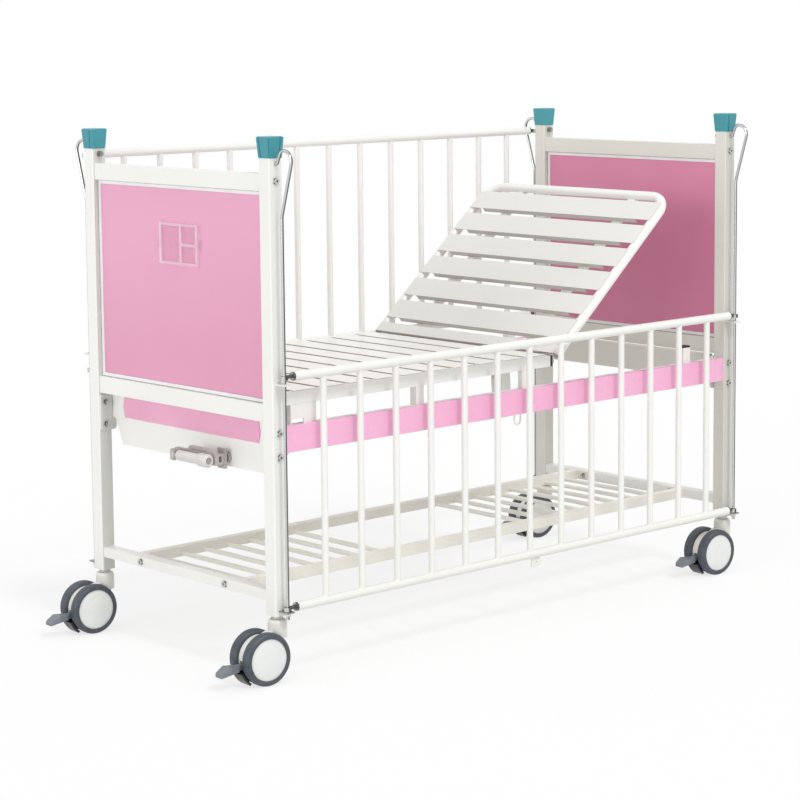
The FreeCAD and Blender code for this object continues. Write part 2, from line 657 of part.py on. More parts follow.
# A bolt along an axis from its head's seat, with a socket in the head and a nut where it ends
def bolt(name, seat, sign, axis, grip, with_nut):
    length = grip + (s.nut_height + s.bolt_end if with_nut else 0)
    index = "XYZ".index(axis)

    def along(near, far):
        low = ordered(sign * near, sign * far)[0]
        return [value + low if number == index else value for number, value in enumerate(seat)]

    shank = rod(f"{name}_shank", s.bolt_shank, length, along(0, -length), axis)
    head = rod(f"{name}_head", s.bolt_head, s.bolt_head_height, along(0, s.bolt_head_height), axis)
    socket = nut(f"{name}_socket", s.socket_width, s.socket_depth,
                 along(s.bolt_head_height - s.socket_depth, s.bolt_head_height), axis)
    solids = [cut(f"{name}_drive", join(f"{name}_body", shank, head), socket)]
    if with_nut:
        body = nut(f"{name}_nut", s.nut_width, s.nut_height, along(-grip, -grip - s.nut_height), axis)
        bore = rod(f"{name}_nut_bore", s.bolt_shank, s.nut_height, along(-grip, -grip - s.nut_height), axis)
        solids.append(cut(f"{name}_ring", body, bore))
    return solids


def make_frame_bolts():
    solids = []
    for end, sign_x in ends:
        for side, sign_y in sides:
            name = f"{end}_{side}_bolt"
            for height in (s.bracket_bolt_low, s.bracket_bolt_high):
                seat = (sign_x * post_x, sign_y * outer_y, height)
                solids += bolt(name, seat, sign_y, "Y", s.post_side + s.bracket_thick, True)
            seat = (sign_x * post_x, sign_y * outer_y, s.post_top - s.rail_bolt_drop)
            solids += bolt(name, seat, sign_y, "Y", s.post_side + s.rail_bolt_reach, False)
            seat = (sign_x * (post_x + s.cross_depth / 2), sign_y * s.rack_bolt_side,
                    s.rack_bottom + s.rack_tube / 2)
            solids += bolt(name, seat, sign_x, "X", s.cross_depth + s.rack_tab_thick, True)
    finish(group("frame_bolts", *solids), "frame_bolts")


# Guide rods: bent rods that leave a post near its top, arch outward and run down beside it
def make_guide_rods():
    rods = []
    for end, sign_x in ends:
        for side, sign_y in sides:
            x = sign_x * post_x
            ys = [inner_y - s.guide_end_out, outer_y + s.guide_entry_out, outer_y + s.guide_arch_out,
                  outer_y + s.guide_bulge_out, guide_y, guide_y]
            zs = [guide_entry, guide_entry, guide_entry + s.guide_arch_rise, guide_entry + s.guide_bulge_rise,
                  guide_entry - s.guide_slant_drop, s.guide_bottom]
            points = [(x, sign_y * y, z) for y, z in zip(ys, zs)]
            radii = [s.guide_entry_round, s.guide_arch_round, s.guide_bulge_round, s.guide_slant_round]
            rods.append(bent_bar(f"{end}_{side}_guide", s.guide_dia, points, radii))
    finish(group("guide_rods", *rods), "guide_rods")


# Brackets that hold the rods: two tabs and a low nut on each post, and an acorn nut behind it
def make_rod_brackets():
    solids = []
    bore = s.guide_dia + 2 * s.tab_hole_gap
    for end, sign_x in ends:
        for side, sign_y in sides:
            x, y = sign_x * post_x, sign_y * guide_y
            for number, height in enumerate((s.ring_tab_height, low_tab_top - s.tab_thick)):
                name = f"{end}_{side}_tab{number}"
                reach = ordered(sign_y * outer_y, sign_y * (guide_y + s.tab_reach))
                tab = span(f"{name}_plate", (x - s.tab_width / 2, x + s.tab_width / 2), reach,
                           (height, height + s.tab_thick))
                solids.append(cut(name, tab, rod(f"{name}_hole", bore, s.tab_thick, (x, y, height))))
            low = low_tab_top - s.tab_thick - s.guide_nut_height
            body = nut(f"{end}_{side}_low_nut", s.nut_width, s.guide_nut_height, (x, y, low))
            hole = rod(f"{end}_{side}_low_bore", s.guide_dia, s.guide_nut_height, (x, y, low))
            solids.append(cut(f"{end}_{side}_low_ring", body, hole))
            solids.append(acorn_nut(f"{end}_{side}_acorn", x, sign_y))
    finish(group("rod_brackets", *solids), "rod_brackets")


def acorn_nut(name, x, sign_y):
    face, tip = inner_y, inner_y - s.acorn_height - s.acorn_dome
    low = ordered(sign_y * face, sign_y * (face - s.acorn_height))[0]
    body = nut(f"{name}_hex", s.acorn_width, s.acorn_height, (x, low, guide_entry), "Y")
    low = ordered(sign_y * (face - s.acorn_height), sign_y * tip)[0]
    dome = rod(f"{name}_dome", s.acorn_width - s.bolt_end, s.acorn_dome, (x, low, guide_entry), "Y")
    low = ordered(sign_y * face, sign_y * (inner_y - s.guide_end_out))[0]
    bore = rod(f"{name}_bore", s.guide_dia, s.guide_end_out, (x, low, guide_entry), "Y")
    return cut(name, join(f"{name}_body", body, dome), bore)


# Side rails: two long bars with coped uprights between them, and a lug under the near one
def make_rail(side, sign_y, lift, with_lug):
    name = f"{side}_rail"
    y = sign_y * guide_y
    low, high = s.rail_low_height + lift, s.rail_high_height + lift
    half = inner_x - s.ferrule_length - s.rail_end_gap / 2
    bars = [pipe(f"{name}_bar{number}", s.rail_bar_dia, s.rail_bar_wall, 2 * half, (-half, y, height), "X")
            for number, height in enumerate((low, high))]
    places = [(number - (upright_count - 1) / 2) * s.upright_pitch for number in range(upright_count)]
    tubes = group(f"{name}_tubes", *[rod(f"{name}_upright{number}", s.upright_dia, high - low, (x, y, low))
                                     for number, x in enumerate(places)])
    bores = [rod(f"{name}_upright_bore{number}", s.upright_dia - 2 * s.upright_wall, high - low, (x, y, low))
             for number, x in enumerate(places)]
    hollow = cut(f"{name}_hollow", tubes, *bores)
    copes = [rod(f"{name}_cope", s.rail_bar_dia, 2 * half, (-half, y, height), "X") for height in (low, high)]
    solids = [*bars, cut(f"{name}_uprights", hollow, *copes)]
    if with_lug:
        solids.append(rail_lug(f"{name}_lug", y, low, half))
    finish(group(name, *solids), name)


def rail_lug(name, y, low, half):
    bottom = low - s.rail_bar_dia / 2 - s.lug_height
    body = span(f"{name}_plate", (s.lug_middle - s.lug_width / 2, s.lug_middle + s.lug_width / 2),
                (y - s.lug_thick / 2, y + s.lug_thick / 2), (bottom, low))
    hole = rod(f"{name}_hole", s.lug_hole, s.lug_thick,
               (s.lug_middle, y - s.lug_thick / 2, bottom + s.lug_height / 2), "Y")
    return cut(name, body, hole, rod(f"{name}_cope", s.rail_bar_dia, 2 * half, (-half, y, low), "X"))


# Eyes at the ends of the bars: the low ones are rings on the rods, the high ones are forks open outward
def make_rail_eyes(side, sign_y, lift):
    name = f"{side}_rail_eyes"
    solids = []
    end_x = inner_x - s.rail_end_gap / 2
    y = sign_y * guide_y
    bore = s.guide_dia + 2 * s.eye_gap
    for end, sign_x in ends:
        for level, height in (("low", s.rail_low_height + lift), ("high", s.rail_high_height + lift)):
            part = f"{name}_{end}_{level}"
            base = height - s.eye_drop - s.eye_height / 2
            under, over = base - s.eye_height, base + 2 * s.eye_height
            x = sign_x * post_x
            ring = rod(f"{part}_ring", s.eye_outer, s.eye_height, (x, y, base))
            stud_x = ordered(sign_x * (end_x - s.ferrule_length), x)
            stud = rod(f"{part}_stud", s.stud_dia, stud_x[1] - stud_x[0], (stud_x[0], y, height), "X")
            cap_x = ordered(sign_x * (end_x - s.ferrule_length), sign_x * end_x)
            ferrule = rod(f"{part}_ferrule", s.ferrule_dia, s.ferrule_length, (cap_x[0], y, height), "X")
            tools = [rod(f"{part}_bore", bore, over - under, (x, y, under))]
            if level == "high":
                mouth = ordered(y, y + sign_y * s.eye_outer)
                tools.append(span(f"{part}_mouth", (x - bore / 2, x + bore / 2), mouth, (under, over)))
            solids.append(cut(part, join(f"{part}_body", ring, stud, ferrule), *tools))
    finish(group(name, *solids), name)


# Deck frame: two side tubes, a foot cross tube and plates that carry the backrest's hinge
def make_deck_frame():
    name = "deck_frame"
    z = (deck_bottom, deck_bottom + s.deck_tube_height)
    solids = []
    for side, sign in sides:
        y = ordered(sign * deck_inner, sign * s.deck_half)
        x = (-deck_foot_end, s.deck_hinge_end)
        solids.append(box_tube(f"{name}_{side}", x, y, z, s.deck_tube_wall, "X"))
        solids.append(hinge_plate(f"{name}_{side}_hinge", sign))
    cross_x = (-deck_foot_end, s.deck_cross_width - deck_foot_end)
    solids.append(box_tube(f"{name}_cross", cross_x, (-deck_inner, deck_inner), z, s.deck_tube_wall, "Y"))
    finish(group(name, *solids), name)


# Hinge plate on the inner face of a deck tube, round at its end about the hinge pin
def hinge_plate(name, sign):
    radius = s.hinge_plate_radius
    y = ordered(sign * hinge_plate_inner, sign * deck_inner)
    bar = span(f"{name}_bar", (s.hinge_place - s.hinge_plate_length, s.hinge_place), y,
               (hinge_height - radius, hinge_height + radius))
    end = rod(f"{name}_end", 2 * radius, s.hinge_plate_thick, (s.hinge_place, y[0], hinge_height), "Y")
    bore = s.hinge_pin + 2 * s.hinge_pin_gap
    hole = rod(f"{name}_hole", bore, s.hinge_plate_thick, (s.hinge_place, y[0], hinge_height), "Y")
    return cut(name, join(f"{name}_body", bar, end), hole)


# A folded slat across a frame: a top plate with two lips that hang between the side tubes
def slat(name, low, high, top, half, lip_half, drop):
    plate_z = (top - s.slat_thick, top)
    skin = span(f"{name}_skin", (low, high), (-half, half), plate_z)
    lip_z = (top - drop, top - s.slat_thick)
    lips = [span(f"{name}_lip", x, (-lip_half, lip_half), lip_z)
            for x in ((low, low + s.slat_thick), (high - s.slat_thick, high))]
    return join(name, skin, *lips)


def make_deck_slats():
    name = "deck_slats"
    half = s.slat_width / 2
    gap = (s.slat_pitch - s.slat_width) / 2
    first_middle = s.first_gap_place - s.slat_pitch / 2
    lip_half = hinge_plate_inner - s.slat_lip_gap
    across = (s.deck_top, s.slat_half, lip_half, s.slat_drop)
    solids = [slat(f"{name}_hinge", s.first_gap_place + gap, s.deck_hinge_end - s.slat_end_gap, *across)]
    for number in range(deck_slat_count):
        middle = first_middle - number * s.slat_pitch
        solids.append(slat(f"{name}_{number}", middle - half, middle + half, *across))
    finish(group(name, *solids), name)


# Legs between the side beams and the deck tubes
def make_deck_legs():
    solids = []
    for side, sign in sides:
        solids.append(foot_leg(f"{side}_foot_leg", sign))
        y = ordered(sign * inner_y, sign * (inner_y + s.leg_depth))
        half = s.middle_leg_width / 2
        x = (-s.middle_leg_place - half, half - s.middle_leg_place)
        solids.append(box_tube(f"{side}_middle_leg", x, y, (beam_top, deck_bottom), s.leg_wall, "Z"))
        solids.append(pivot_leg(f"{side}_pivot_leg", sign))
        half = s.rest_width / 2
        top = hinge_height - s.back_tube / 2 - s.rest_gap - s.rest_plug
        solids.append(box_tube(f"{side}_rest", (rest_place - half, rest_place + half), y,
                               (beam_top, top), s.leg_wall, "Z"))
    finish(group("deck_legs", *solids), "deck_legs")


# Foot leg: a bent plate with a notch at its foot
def foot_leg(name, sign):
    y = ordered(sign * inner_y, sign * (inner_y + s.leg_depth))
    outside = span(f"{name}_outside", (-foot_leg_low, -foot_leg_high), y, (beam_top, deck_bottom))
    inside_y = ordered(sign * inner_y, sign * (inner_y + s.leg_depth - s.foot_leg_thick))
    inside = span(f"{name}_inside", (s.foot_leg_thick - foot_leg_low, -foot_leg_high - s.foot_leg_thick),
                  inside_y, (beam_top, deck_bottom - s.foot_leg_thick))
    start = s.foot_leg_thick - foot_leg_low
    notch = span(f"{name}_notch", (start, start + s.foot_leg_notch), y,
                 (beam_top, beam_top + s.foot_leg_notch_height))
    return cut(name, cut(f"{name}_shell", outside, inside), notch)


# Pivot leg: a channel with a round hole near its top
def pivot_leg(name, sign):
    half = s.pivot_leg_width / 2
    bore_half = half - s.leg_wall
    outer = inner_y + s.leg_depth
    z = (beam_top, deck_bottom)
    y = ordered(sign * (outer - s.pivot_leg_depth), sign * outer)
    outside = span(f"{name}_outside", (s.pivot_leg_place - half, s.pivot_leg_place + half), y, z)
    inside_y = ordered(sign * (outer - s.pivot_leg_depth), sign * (outer - s.leg_wall))
    inside_x = (s.pivot_leg_place - bore_half, s.pivot_leg_place + bore_half)
    inside = span(f"{name}_inside", inside_x, inside_y, z)
    hole = rod(f"{name}_hole", s.pivot_leg_hole, s.pivot_leg_depth,
               (s.pivot_leg_place + half / 2, y[0], deck_bottom - s.pivot_leg_hole_drop), "Y")
    return cut(name, cut(f"{name}_channel", outside, inside), hole)


# A plug that closes the end of a rectangular tube, with its spigot inside the tube
def end_plug(name, x, y, z, rim_thick, wall, axis, outward):
    reach = {"X": x, "Y": y, "Z": z}
    face = reach[axis]
    reach[axis] = ordered(face, face + outward * rim_thick)
    rim = span(f"{name}_rim", *reach.values())
    inset = wall + s.plug_gap
    reach = {key: (low + inset, high - inset) for key, (low, high) in reach.items()}
    reach[axis] = ordered(face, face - outward * s.plug_depth)
    return join(name, rim, span(f"{name}_spigot", *reach.values()))


def make_tube_plugs():
    solids = []
    z = (deck_bottom, deck_bottom + s.deck_tube_height)
    half = s.rest_width / 2
    top = hinge_height - s.back_tube / 2 - s.rest_gap - s.rest_plug
    for side, sign in sides:
        y = ordered(sign * deck_inner, sign * s.deck_half)
        wall = s.deck_tube_wall
        solids.append(end_plug(f"{side}_hinge_plug", s.deck_hinge_end, y, z, s.hinge_plug_rim, wall, "X", 1))
        solids.append(end_plug(f"{side}_foot_plug", -deck_foot_end, y, z, s.plug_rim, wall, "X", -1))
        y = ordered(sign * inner_y, sign * (inner_y + s.leg_depth))
        x = (rest_place - half, rest_place + half)
        rim = span(f"{side}_rest_rim", x, y, (top, top + s.rest_plug))
        inset = s.leg_wall + s.plug_gap
        spigot = span(f"{side}_rest_spigot", (x[0] + inset, x[1] - inset), (y[0] + inset, y[1] - inset),
                      (top - s.plug_depth, top))
        solids.append(join(f"{side}_rest_plug", rim, spigot))
    finish(group("tube_plugs", *solids), "tube_plugs")


def make_hinge_pins():
    solids = []
    for side, sign in sides:
        start = sign * (hinge_plate_inner - s.hinge_pin_length)
        low = ordered(start, sign * deck_inner)
        solids.append(rod(f"{side}_hinge_pin", s.hinge_pin, low[1] - low[0],
                          (s.hinge_place, low[0], hinge_height), "Y"))
    finish(group("hinge_pins", *solids), "hinge_pins")


# Sets a sub-part of the backrest, built flat about its hinge, at its tilt
def finish_tilted(thing, name):
    finish(thing, name, (s.hinge_place, 0, hinge_height), (0, 1, 0), -s.back_angle)


# Backrest frame: a bent tube, a hinge tube and a web between them, with two runners under the slats
def make_backrest_frame():
    name = "backrest_frame"
    middle = s.back_half - s.back_tube / 2
    end = s.back_length - s.back_tube / 2
    start = s.hinge_web_start
    points = [(start, -middle, 0), (end, -middle, 0), (end, middle, 0), (start, middle, 0)]
    hoop = bent_bar(f"{name}_hoop", s.back_tube, points, [s.back_corner, s.back_corner], s.back_tube_wall)
    half = hinge_plate_inner - s.hinge_side_gap
    tube = rod(f"{name}_tube", s.back_tube, 2 * half, (0, -half, 0), "Y")
    bore = rod(f"{name}_bore", s.hinge_pin + 2 * s.hinge_pin_gap, 2 * half, (0, -half, 0), "Y")
    z = (-s.hinge_web_thick / 2, s.hinge_web_thick / 2)
    web = span(f"{name}_web", (start, s.hinge_web_end), (-middle, middle), z)
    inner_web = span(f"{name}_inner_web", (0, start), (-half, half), z)
    outer_bores = [rod(f"{name}_side_bore", s.back_tube - 2 * s.back_tube_wall, s.hinge_web_end,
                       (start, sign * middle, 0), "X") for side, sign in sides]
    web_part = cut(f"{name}_web_cut", join(f"{name}_webs", web, inner_web), *outer_bores)
    body = cut(f"{name}_hinge", join(f"{name}_hinge_body", tube, web_part), bore)
    top = s.back_tube / 2 + s.slat_thick - s.back_slat_drop
    runners = [box_tube(f"{name}_runner", (s.hinge_web_end, end), (place_y, place_y + s.runner_width),
                        (top - s.runner_depth, top), s.runner_wall, "X")
               for place_y in (-s.runner_place - s.runner_width / 2, s.runner_place - s.runner_width / 2)]
    seat = rod(f"{name}_seat", s.back_tube, 2 * middle, (end, -middle, 0), "Y")
    coped = cut(f"{name}_runners", group(f"{name}_bars", *runners), seat)
    finish_tilted(join(f"{name}_body", hoop, body, coped), name)


def make_backrest_slats():
    name = "backrest_slats"
    top = s.back_tube / 2 + s.slat_thick
    gap = s.back_gap_width / 2
    lip_half = s.back_half - s.back_corner
    across = (top, s.back_slat_half, lip_half)
    first = s.back_first_gap
    web_drop = top - s.hinge_web_thick / 2
    solids = [slat(f"{name}_hinge", s.back_tube / 2 + s.back_slat_gap, first - gap, *across, web_drop)]
    for number in range(back_slat_count):
        low = first + number * s.back_pitch + gap
        high = low + s.back_pitch - 2 * gap
        solids.append(slat(f"{name}_{number}", low, high, *across, s.back_slat_drop))
    finish_tilted(group(name, *solids), name)


# Lever under the hinge tube: two plates and a web, with a pin through their ends
def make_backrest_lever():
    name = "backrest_lever"
    turn = -s.lever_middle_angle
    half, width = s.lever_depth / 2, s.lever_width
    low = -s.lever_radius - s.lever_end
    plates, tools = [], []
    y = drive_y - half
    hole = s.lever_pin + 2 * s.lever_pin_gap
    tools.append(rod(f"{name}_seat", s.back_tube, s.lever_depth, (0, y, 0), "Y"))
    tools.append(rod(f"{name}_hole", hole, s.lever_depth, (0, y, -s.lever_radius), "Y"))
    for number, inner in enumerate((y, y + s.lever_depth - s.lever_plate)):
        plate_y = (inner, inner + s.lever_plate)
        plates.append(span(f"{name}_plate{number}", (-width / 2, width / 2), plate_y, (low, 0)))
    plates.append(span(f"{name}_web", (-width / 2, s.lever_plate - width / 2), (y, y + s.lever_depth),
                       (-s.lever_web_length, 0)))
    body = cut(f"{name}_body", join(f"{name}_plates", *plates), *tools)
    head = s.lever_pin_head_height
    pin = rod(f"{name}_pin_shank", s.lever_pin, s.lever_depth + 2 * head, (0, y - head, -s.lever_radius), "Y")
    heads = [rod(f"{name}_pin_head", s.lever_pin_head, head, (0, start, -s.lever_radius), "Y")
             for start in (y - head, y + s.lever_depth)]
    solids = group(f"{name}_flat", body, join(f"{name}_pin", pin, *heads))
    place(solids, (0, 0, 0), (0, 1, 0), -turn)
    finish_tilted(group(name, solids), name)


# Push tube: a tube with a nut at its foot end and an upright slotted plate at its head end
def make_push_tube():
    name = "push_tube"
    y, z = drive_y, drive_height
    pin_x = s.hinge_place + s.lever_radius * sine(lever_rest)
    end_x = pin_x - s.push_end_gap
    bore = s.push_dia - 2 * s.push_wall
    start = -push_start
    tube = rod(f"{name}_tube", s.push_dia, end_x - start, (start, y, z), "X")
    nut_body = rod(f"{name}_nut", s.nut_dia, s.nut_length, (start, y, z), "X")
    hollow = rod(f"{name}_hollow", bore, end_x - start - s.nut_length, (start + s.nut_length, y, z), "X")
    thread = rod(f"{name}_thread", s.screw_dia + 2 * s.screw_gap, s.nut_length, (start, y, z), "X")
    tube_part = cut(f"{name}_shell", join(f"{name}_outside", tube, nut_body), hollow, thread)
    high = hinge_height - s.lever_radius * cosine(s.lever_middle_angle)
    low = hinge_height - s.lever_radius
    slot_half = s.lever_pin / 2 + s.slot_side_gap
    slot_z = (low - s.lever_pin / 2 - s.slot_end_gap, high + s.lever_pin / 2 + s.slot_end_gap)
    head_half = s.head_width / 2
    head_z = (z - s.push_dia / 2, slot_z[1] + s.head_edge)
    plate_y = (y - s.head_plate / 2, y + s.head_plate / 2)
    head = span(f"{name}_head", (end_x, pin_x + head_half), plate_y, head_z)
    slot = span(f"{name}_slot", (pin_x - slot_half, pin_x + slot_half), plate_y, slot_z)
    finish(join(name, tube_part, cut(f"{name}_head_plate", head, slot)), name)


# Lead screw: a shaft from the crank's yoke through the bearing to the thread in the push tube's nut
def make_lead_screw():
    name = "lead_screw"
    y, z = drive_y, drive_height
    start, end = s.yoke_plate_thick - yoke_start, -screw_end
    shaft = rod(f"{name}_shaft", s.screw_dia, end - start, (start, y, z), "X")
    collar_x = (s.apron_thick - inner_x + s.bearing_flange_thick + s.bearing_length + s.collar_gap,
                -inner_x - s.front_plate_thick - s.collar_gap - s.collar_length)
    collars = [rod(f"{name}_collar", s.collar_dia, s.collar_length, (x, y, z), "X") for x in collar_x]
    grooves = []
    over, core = s.screw_dia + s.thread_groove, s.screw_dia - 2 * s.thread_groove
    width = s.thread_pitch * s.thread_land_share
    for number in range(thread_count):
        x = number * s.thread_pitch - thread_start
        grooves.append(washer(f"{name}_groove{number}", over, core, width, (x, y, z), "X"))
    finish(join(name, cut(f"{name}_threaded", shaft, *grooves), *collars), name)


# Bearing: a flanged sleeve behind the apron and a round washer in front of it
def make_screw_bearing():
    name = "screw_bearing"
    y, z = drive_y, drive_height
    bore = s.screw_dia + 2 * s.screw_gap
    back = s.apron_thick - inner_x
    flange = rod(f"{name}_flange", s.bearing_flange, s.bearing_flange_thick, (back, y, z), "X")
    sleeve_x = back + s.bearing_flange_thick
    sleeve = rod(f"{name}_sleeve", s.bearing_dia, s.bearing_length, (sleeve_x, y, z), "X")
    length = s.bearing_flange_thick + s.bearing_length
    inside = cut(f"{name}_inside", join(f"{name}_outside", flange, sleeve),
                 rod(f"{name}_bore", bore, length, (back, y, z), "X"))
    front_x = -inner_x - s.front_plate_thick
    front = washer(f"{name}_front", s.front_plate_dia, bore, s.front_plate_thick, (front_x, y, z), "X")
    finish(group(name, inside, front), name)


# The crank's places: the arm's front face and the grip's hinge near the arm's far end
arm_face = -yoke_start - s.yoke_length - s.arm_thick
grip_x = arm_face - s.ear_reach
grip_y = drive_y + s.crank_throw


# Crank arm: a yoke on the shaft's end, a flat arm with a round end and two ears that hold the spindle
def make_crank_arm():
    name = "crank_arm"
    y, z = drive_y, drive_height
    half = s.yoke_side / 2
    yoke_end = -yoke_start - s.yoke_length
    yoke = span(f"{name}_yoke", (yoke_end, -yoke_start), (y - half, y + half), (z - half, z + half))
    window_x = (yoke_end + s.yoke_slot / 2, yoke_end + s.yoke_slot / 2 + s.yoke_slot)
    window = span(f"{name}_window", window_x, (y - half, y + half),
                  (z - s.yoke_slot_height / 2, z + s.yoke_slot_height / 2))
    plate_y = (y - s.yoke_plate_width / 2, y + s.yoke_plate_width / 2)
    plate_z = (z - s.yoke_plate_height / 2, z + s.yoke_plate_height / 2)
    back = span(f"{name}_back", (-yoke_start, s.yoke_plate_thick - yoke_start), plate_y, plate_z)
    arm = make_arm_plate(f"{name}_bar", y, z)
    ear_half = s.spindle_eye / 2
    fork = s.fork_height / 2
    ears = []
    for sign in (-1, 1):
        level = ordered(z + sign * fork, z + sign * (fork - s.ear_thick))
        ear = span(f"{name}_ear", (grip_x, arm_face), (grip_y - ear_half, grip_y + ear_half), level)
        tip = rod(f"{name}_ear_tip", s.spindle_eye, s.ear_thick, (grip_x, grip_y, level[0]))
        ears += [ear, tip]
    bore = s.fold_pin + 2 * s.fold_pin_gap
    hole = rod(f"{name}_pin_hole", bore, s.fork_height, (grip_x, grip_y, z - fork))
    parts = join(f"{name}_parts", cut(f"{name}_block", yoke, window), back, arm, *ears)
    solid = cut(f"{name}_body", parts, hole)
    head = s.fold_pin_head_height
    pin = rod(f"{name}_pin", s.fold_pin, s.fork_height + 2 * head, (grip_x, grip_y, z - fork - head))
    heads = [rod(f"{name}_pin_head", s.fold_pin_head, head, (grip_x, grip_y, start))
             for start in (z - fork - head, z + fork)]
    finish(group(name, solid, join(f"{name}_fold_pin", pin, *heads)), name)


# The arm's plate: raised along the yoke's side of the arm, with a groove, a round end and a rivet head
def make_arm_plate(name, y, z):
    low, far = -s.yoke_side / 2, s.crank_throw + s.arm_end_reach
    half, rise, shoulder = s.arm_half, s.arm_rise, s.arm_rise_end
    shape = [(low, -half), (far, -half), (far, half), (shoulder + rise - half, half), (shoulder, rise),
             (low, rise)]
    middle = arm_face + s.arm_thick / 2
    bar = plate(f"{name}_flat", "YZ_Plane", [shape], s.arm_thick, (middle, y, z))
    end = rod(f"{name}_end", 2 * half, s.arm_thick, (arm_face, y + far, z), "X")
    rivet = rod(f"{name}_rivet", s.rivet_dia, s.rivet_height, (arm_face - s.rivet_height, y + far, z), "X")
    groove_y = (y + s.arm_groove_start, y + s.arm_groove_start + s.arm_groove_length)
    groove_z = (z + s.arm_groove_rise, z + s.arm_groove_rise + s.arm_groove)
    groove = span(f"{name}_groove", (arm_face, arm_face + s.arm_groove), groove_y, groove_z)
    return cut(name, join(f"{name}_body", bar, end, rivet), groove)


# Spindle: an eye on the fold pin, a rod that carries the grip and a head in the grip's recess
def make_crank_spindle():
    name = "crank_spindle"
    z = drive_height
    height = s.fork_height - 2 * s.ear_thick - 2 * s.ear_gap
    eye = rod(f"{name}_eye", s.spindle_eye - 2 * s.ear_gap, height, (grip_x, grip_y, z - height / 2))
    end = grip_y - s.grip_start - s.grip_length + s.grip_recess_depth - s.grip_end_gap
    bar = rod(f"{name}_bar", s.spindle_dia - 2 * s.ear_gap, grip_y - end, (grip_x, end, z), "Y")
    head_y = end - s.grip_head_height
    head = rod(f"{name}_head", s.grip_head_dia, s.grip_head_height, (grip_x, head_y, z), "Y")
    bore = rod(f"{name}_bore", s.fold_pin + 2 * s.fold_pin_gap, height, (grip_x, grip_y, z - height / 2))
    finish(cut(name, join(f"{name}_body", eye, bar, head), bore), name)


# Grip: a slim sleeve with a thick boss at its free end, recessed for the spindle's head
def make_crank_grip():
    name = "crank_grip"
    slim, boss, recess = s.grip_dia / 2, s.grip_boss / 2, s.grip_recess / 2
    bore = s.spindle_dia / 2 + s.grip_gap - s.ear_gap
    bend, groove, shoulder = s.grip_round, s.grip_groove, s.grip_boss_length
    shape = [(bore, s.grip_recess_depth), (recess, s.grip_recess_depth), (recess, 0), (boss - bend, 0),
             (boss, bend), (boss, shoulder - bend), (boss - bend / 2, shoulder), (slim - groove, shoulder),
             (slim - groove, shoulder + groove), (slim, shoulder + groove), (slim, s.grip_length - bend),
             (slim - bend, s.grip_length), (bore, s.grip_length)]
    body = turned(f"{name}_sleeve", shape)
    start = grip_y - s.grip_start - s.grip_length
    place(body, (grip_x, start, drive_height), *quarter_turns["Y"])
    finish(group(name, body), name)


# Storage rack: crossbars between the posts, long beams between them and slats in two groups
def make_rack():
    z = (s.rack_bottom, s.rack_bottom + s.rack_tube)
    middle = s.rack_bottom + s.rack_tube / 2
    bore = s.bolt_shank + 2 * s.bolt_hole_gap
    half = s.cross_depth / 2
    bars = []
    for end, sign in ends:
        x = (sign * post_x - half, sign * post_x + half)
        bar = box_tube(f"{end}_crossbar_tube", x, (-inner_y, inner_y), z, s.rack_wall, "Y")
        holes = [rod(f"{end}_crossbar_hole", bore, s.cross_depth,
                     (x[0], turn * s.rack_bolt_side, middle), "X") for side, turn in sides]
        bars.append(cut(f"{end}_crossbar", bar, *holes))
    finish(group("rack_crossbars", *bars), "rack_crossbars")
    end_x = post_x - half
    beams = []
    for side, sign in sides:
        y = ordered(sign * rack_inner, sign * s.rack_half)
        beams.append(box_tube(f"rack_{side}_beam", (-end_x, end_x), y, z, s.rack_wall, "X"))
        for end, turn in ends:
            x = ordered(turn * (end_x - s.rack_tab_thick), turn * end_x)
            tab_y = ordered(sign * (rack_inner - s.rack_tab_reach), sign * rack_inner)
            tab = span(f"rack_{side}_{end}_tab", x, tab_y, z)
            hole = rod(f"rack_{side}_{end}_hole", bore, s.rack_tab_thick,
                       (x[0], sign * s.rack_bolt_side, middle), "X")
            beams.append(cut(f"rack_{side}_{end}_plate", tab, hole))
    height = s.rack_bottom + s.rack_slat_rise + s.rack_slat_dia / 2
    places = [number * s.rack_slat_pitch - rack_foot_slat for number in range(rack_foot_count)]
    places += [s.rack_head_slat + number * s.rack_slat_pitch for number in range(rack_head_count)]
    slats = [pipe(f"rack_slat{number}", s.rack_slat_dia, s.rack_wall, 2 * rack_inner,
                  (x, -rack_inner, height), "Y") for number, x in enumerate(places)]
    finish(group("rack_shelf", *beams, *slats), "rack_shelf")


# Wire loops under the side beams for drainage bags
def make_drainage_hooks():
    hooks = []
    half = s.hook_width / 2
    for side, sign in sides:
        y = sign * (beam_outer - s.hook_inset)
        low = beam_bottom - s.hook_drop
        points = [(-s.hook_place - half, y, beam_bottom), (-s.hook_place - half, y, low),
                  (half - s.hook_place, y, low), (half - s.hook_place, y, beam_bottom)]
        rounds = [half - s.hook_bottom_run / 2] * 2
        hooks.append(bent_bar(f"{side}_hook", s.hook_wire, points, rounds))
    finish(group("drainage_hooks", *hooks), "drainage_hooks")


# Castor stems: a flange under each post, a square plug inside it and a round pin below
def make_castor_stems():
    stems = []
    for end, sign_x in ends:
        for side, sign_y in sides:
            name = f"{end}_{side}_stem"
            x, y = sign_x * post_x, sign_y * post_y
            top = s.neck_top + s.swivel_gap
            pin = rod(f"{name}_pin", s.stem_pin, s.stem_pin_length, (x, y, top - s.stem_pin_length))
            flange = rod(f"{name}_flange", s.stem_dia, s.post_bottom - top, (x, y, top))
            half = s.post_side / 2 - s.post_wall - s.stem_plug_gap
            plug = span(f"{name}_plug", (x - half, x + half), (y - half, y + half),
                        (s.post_bottom, s.post_bottom + s.stem_plug_length))
            stems.append(join(name, pin, flange, plug))
    finish(group("castor_stems", *stems), "castor_stems")


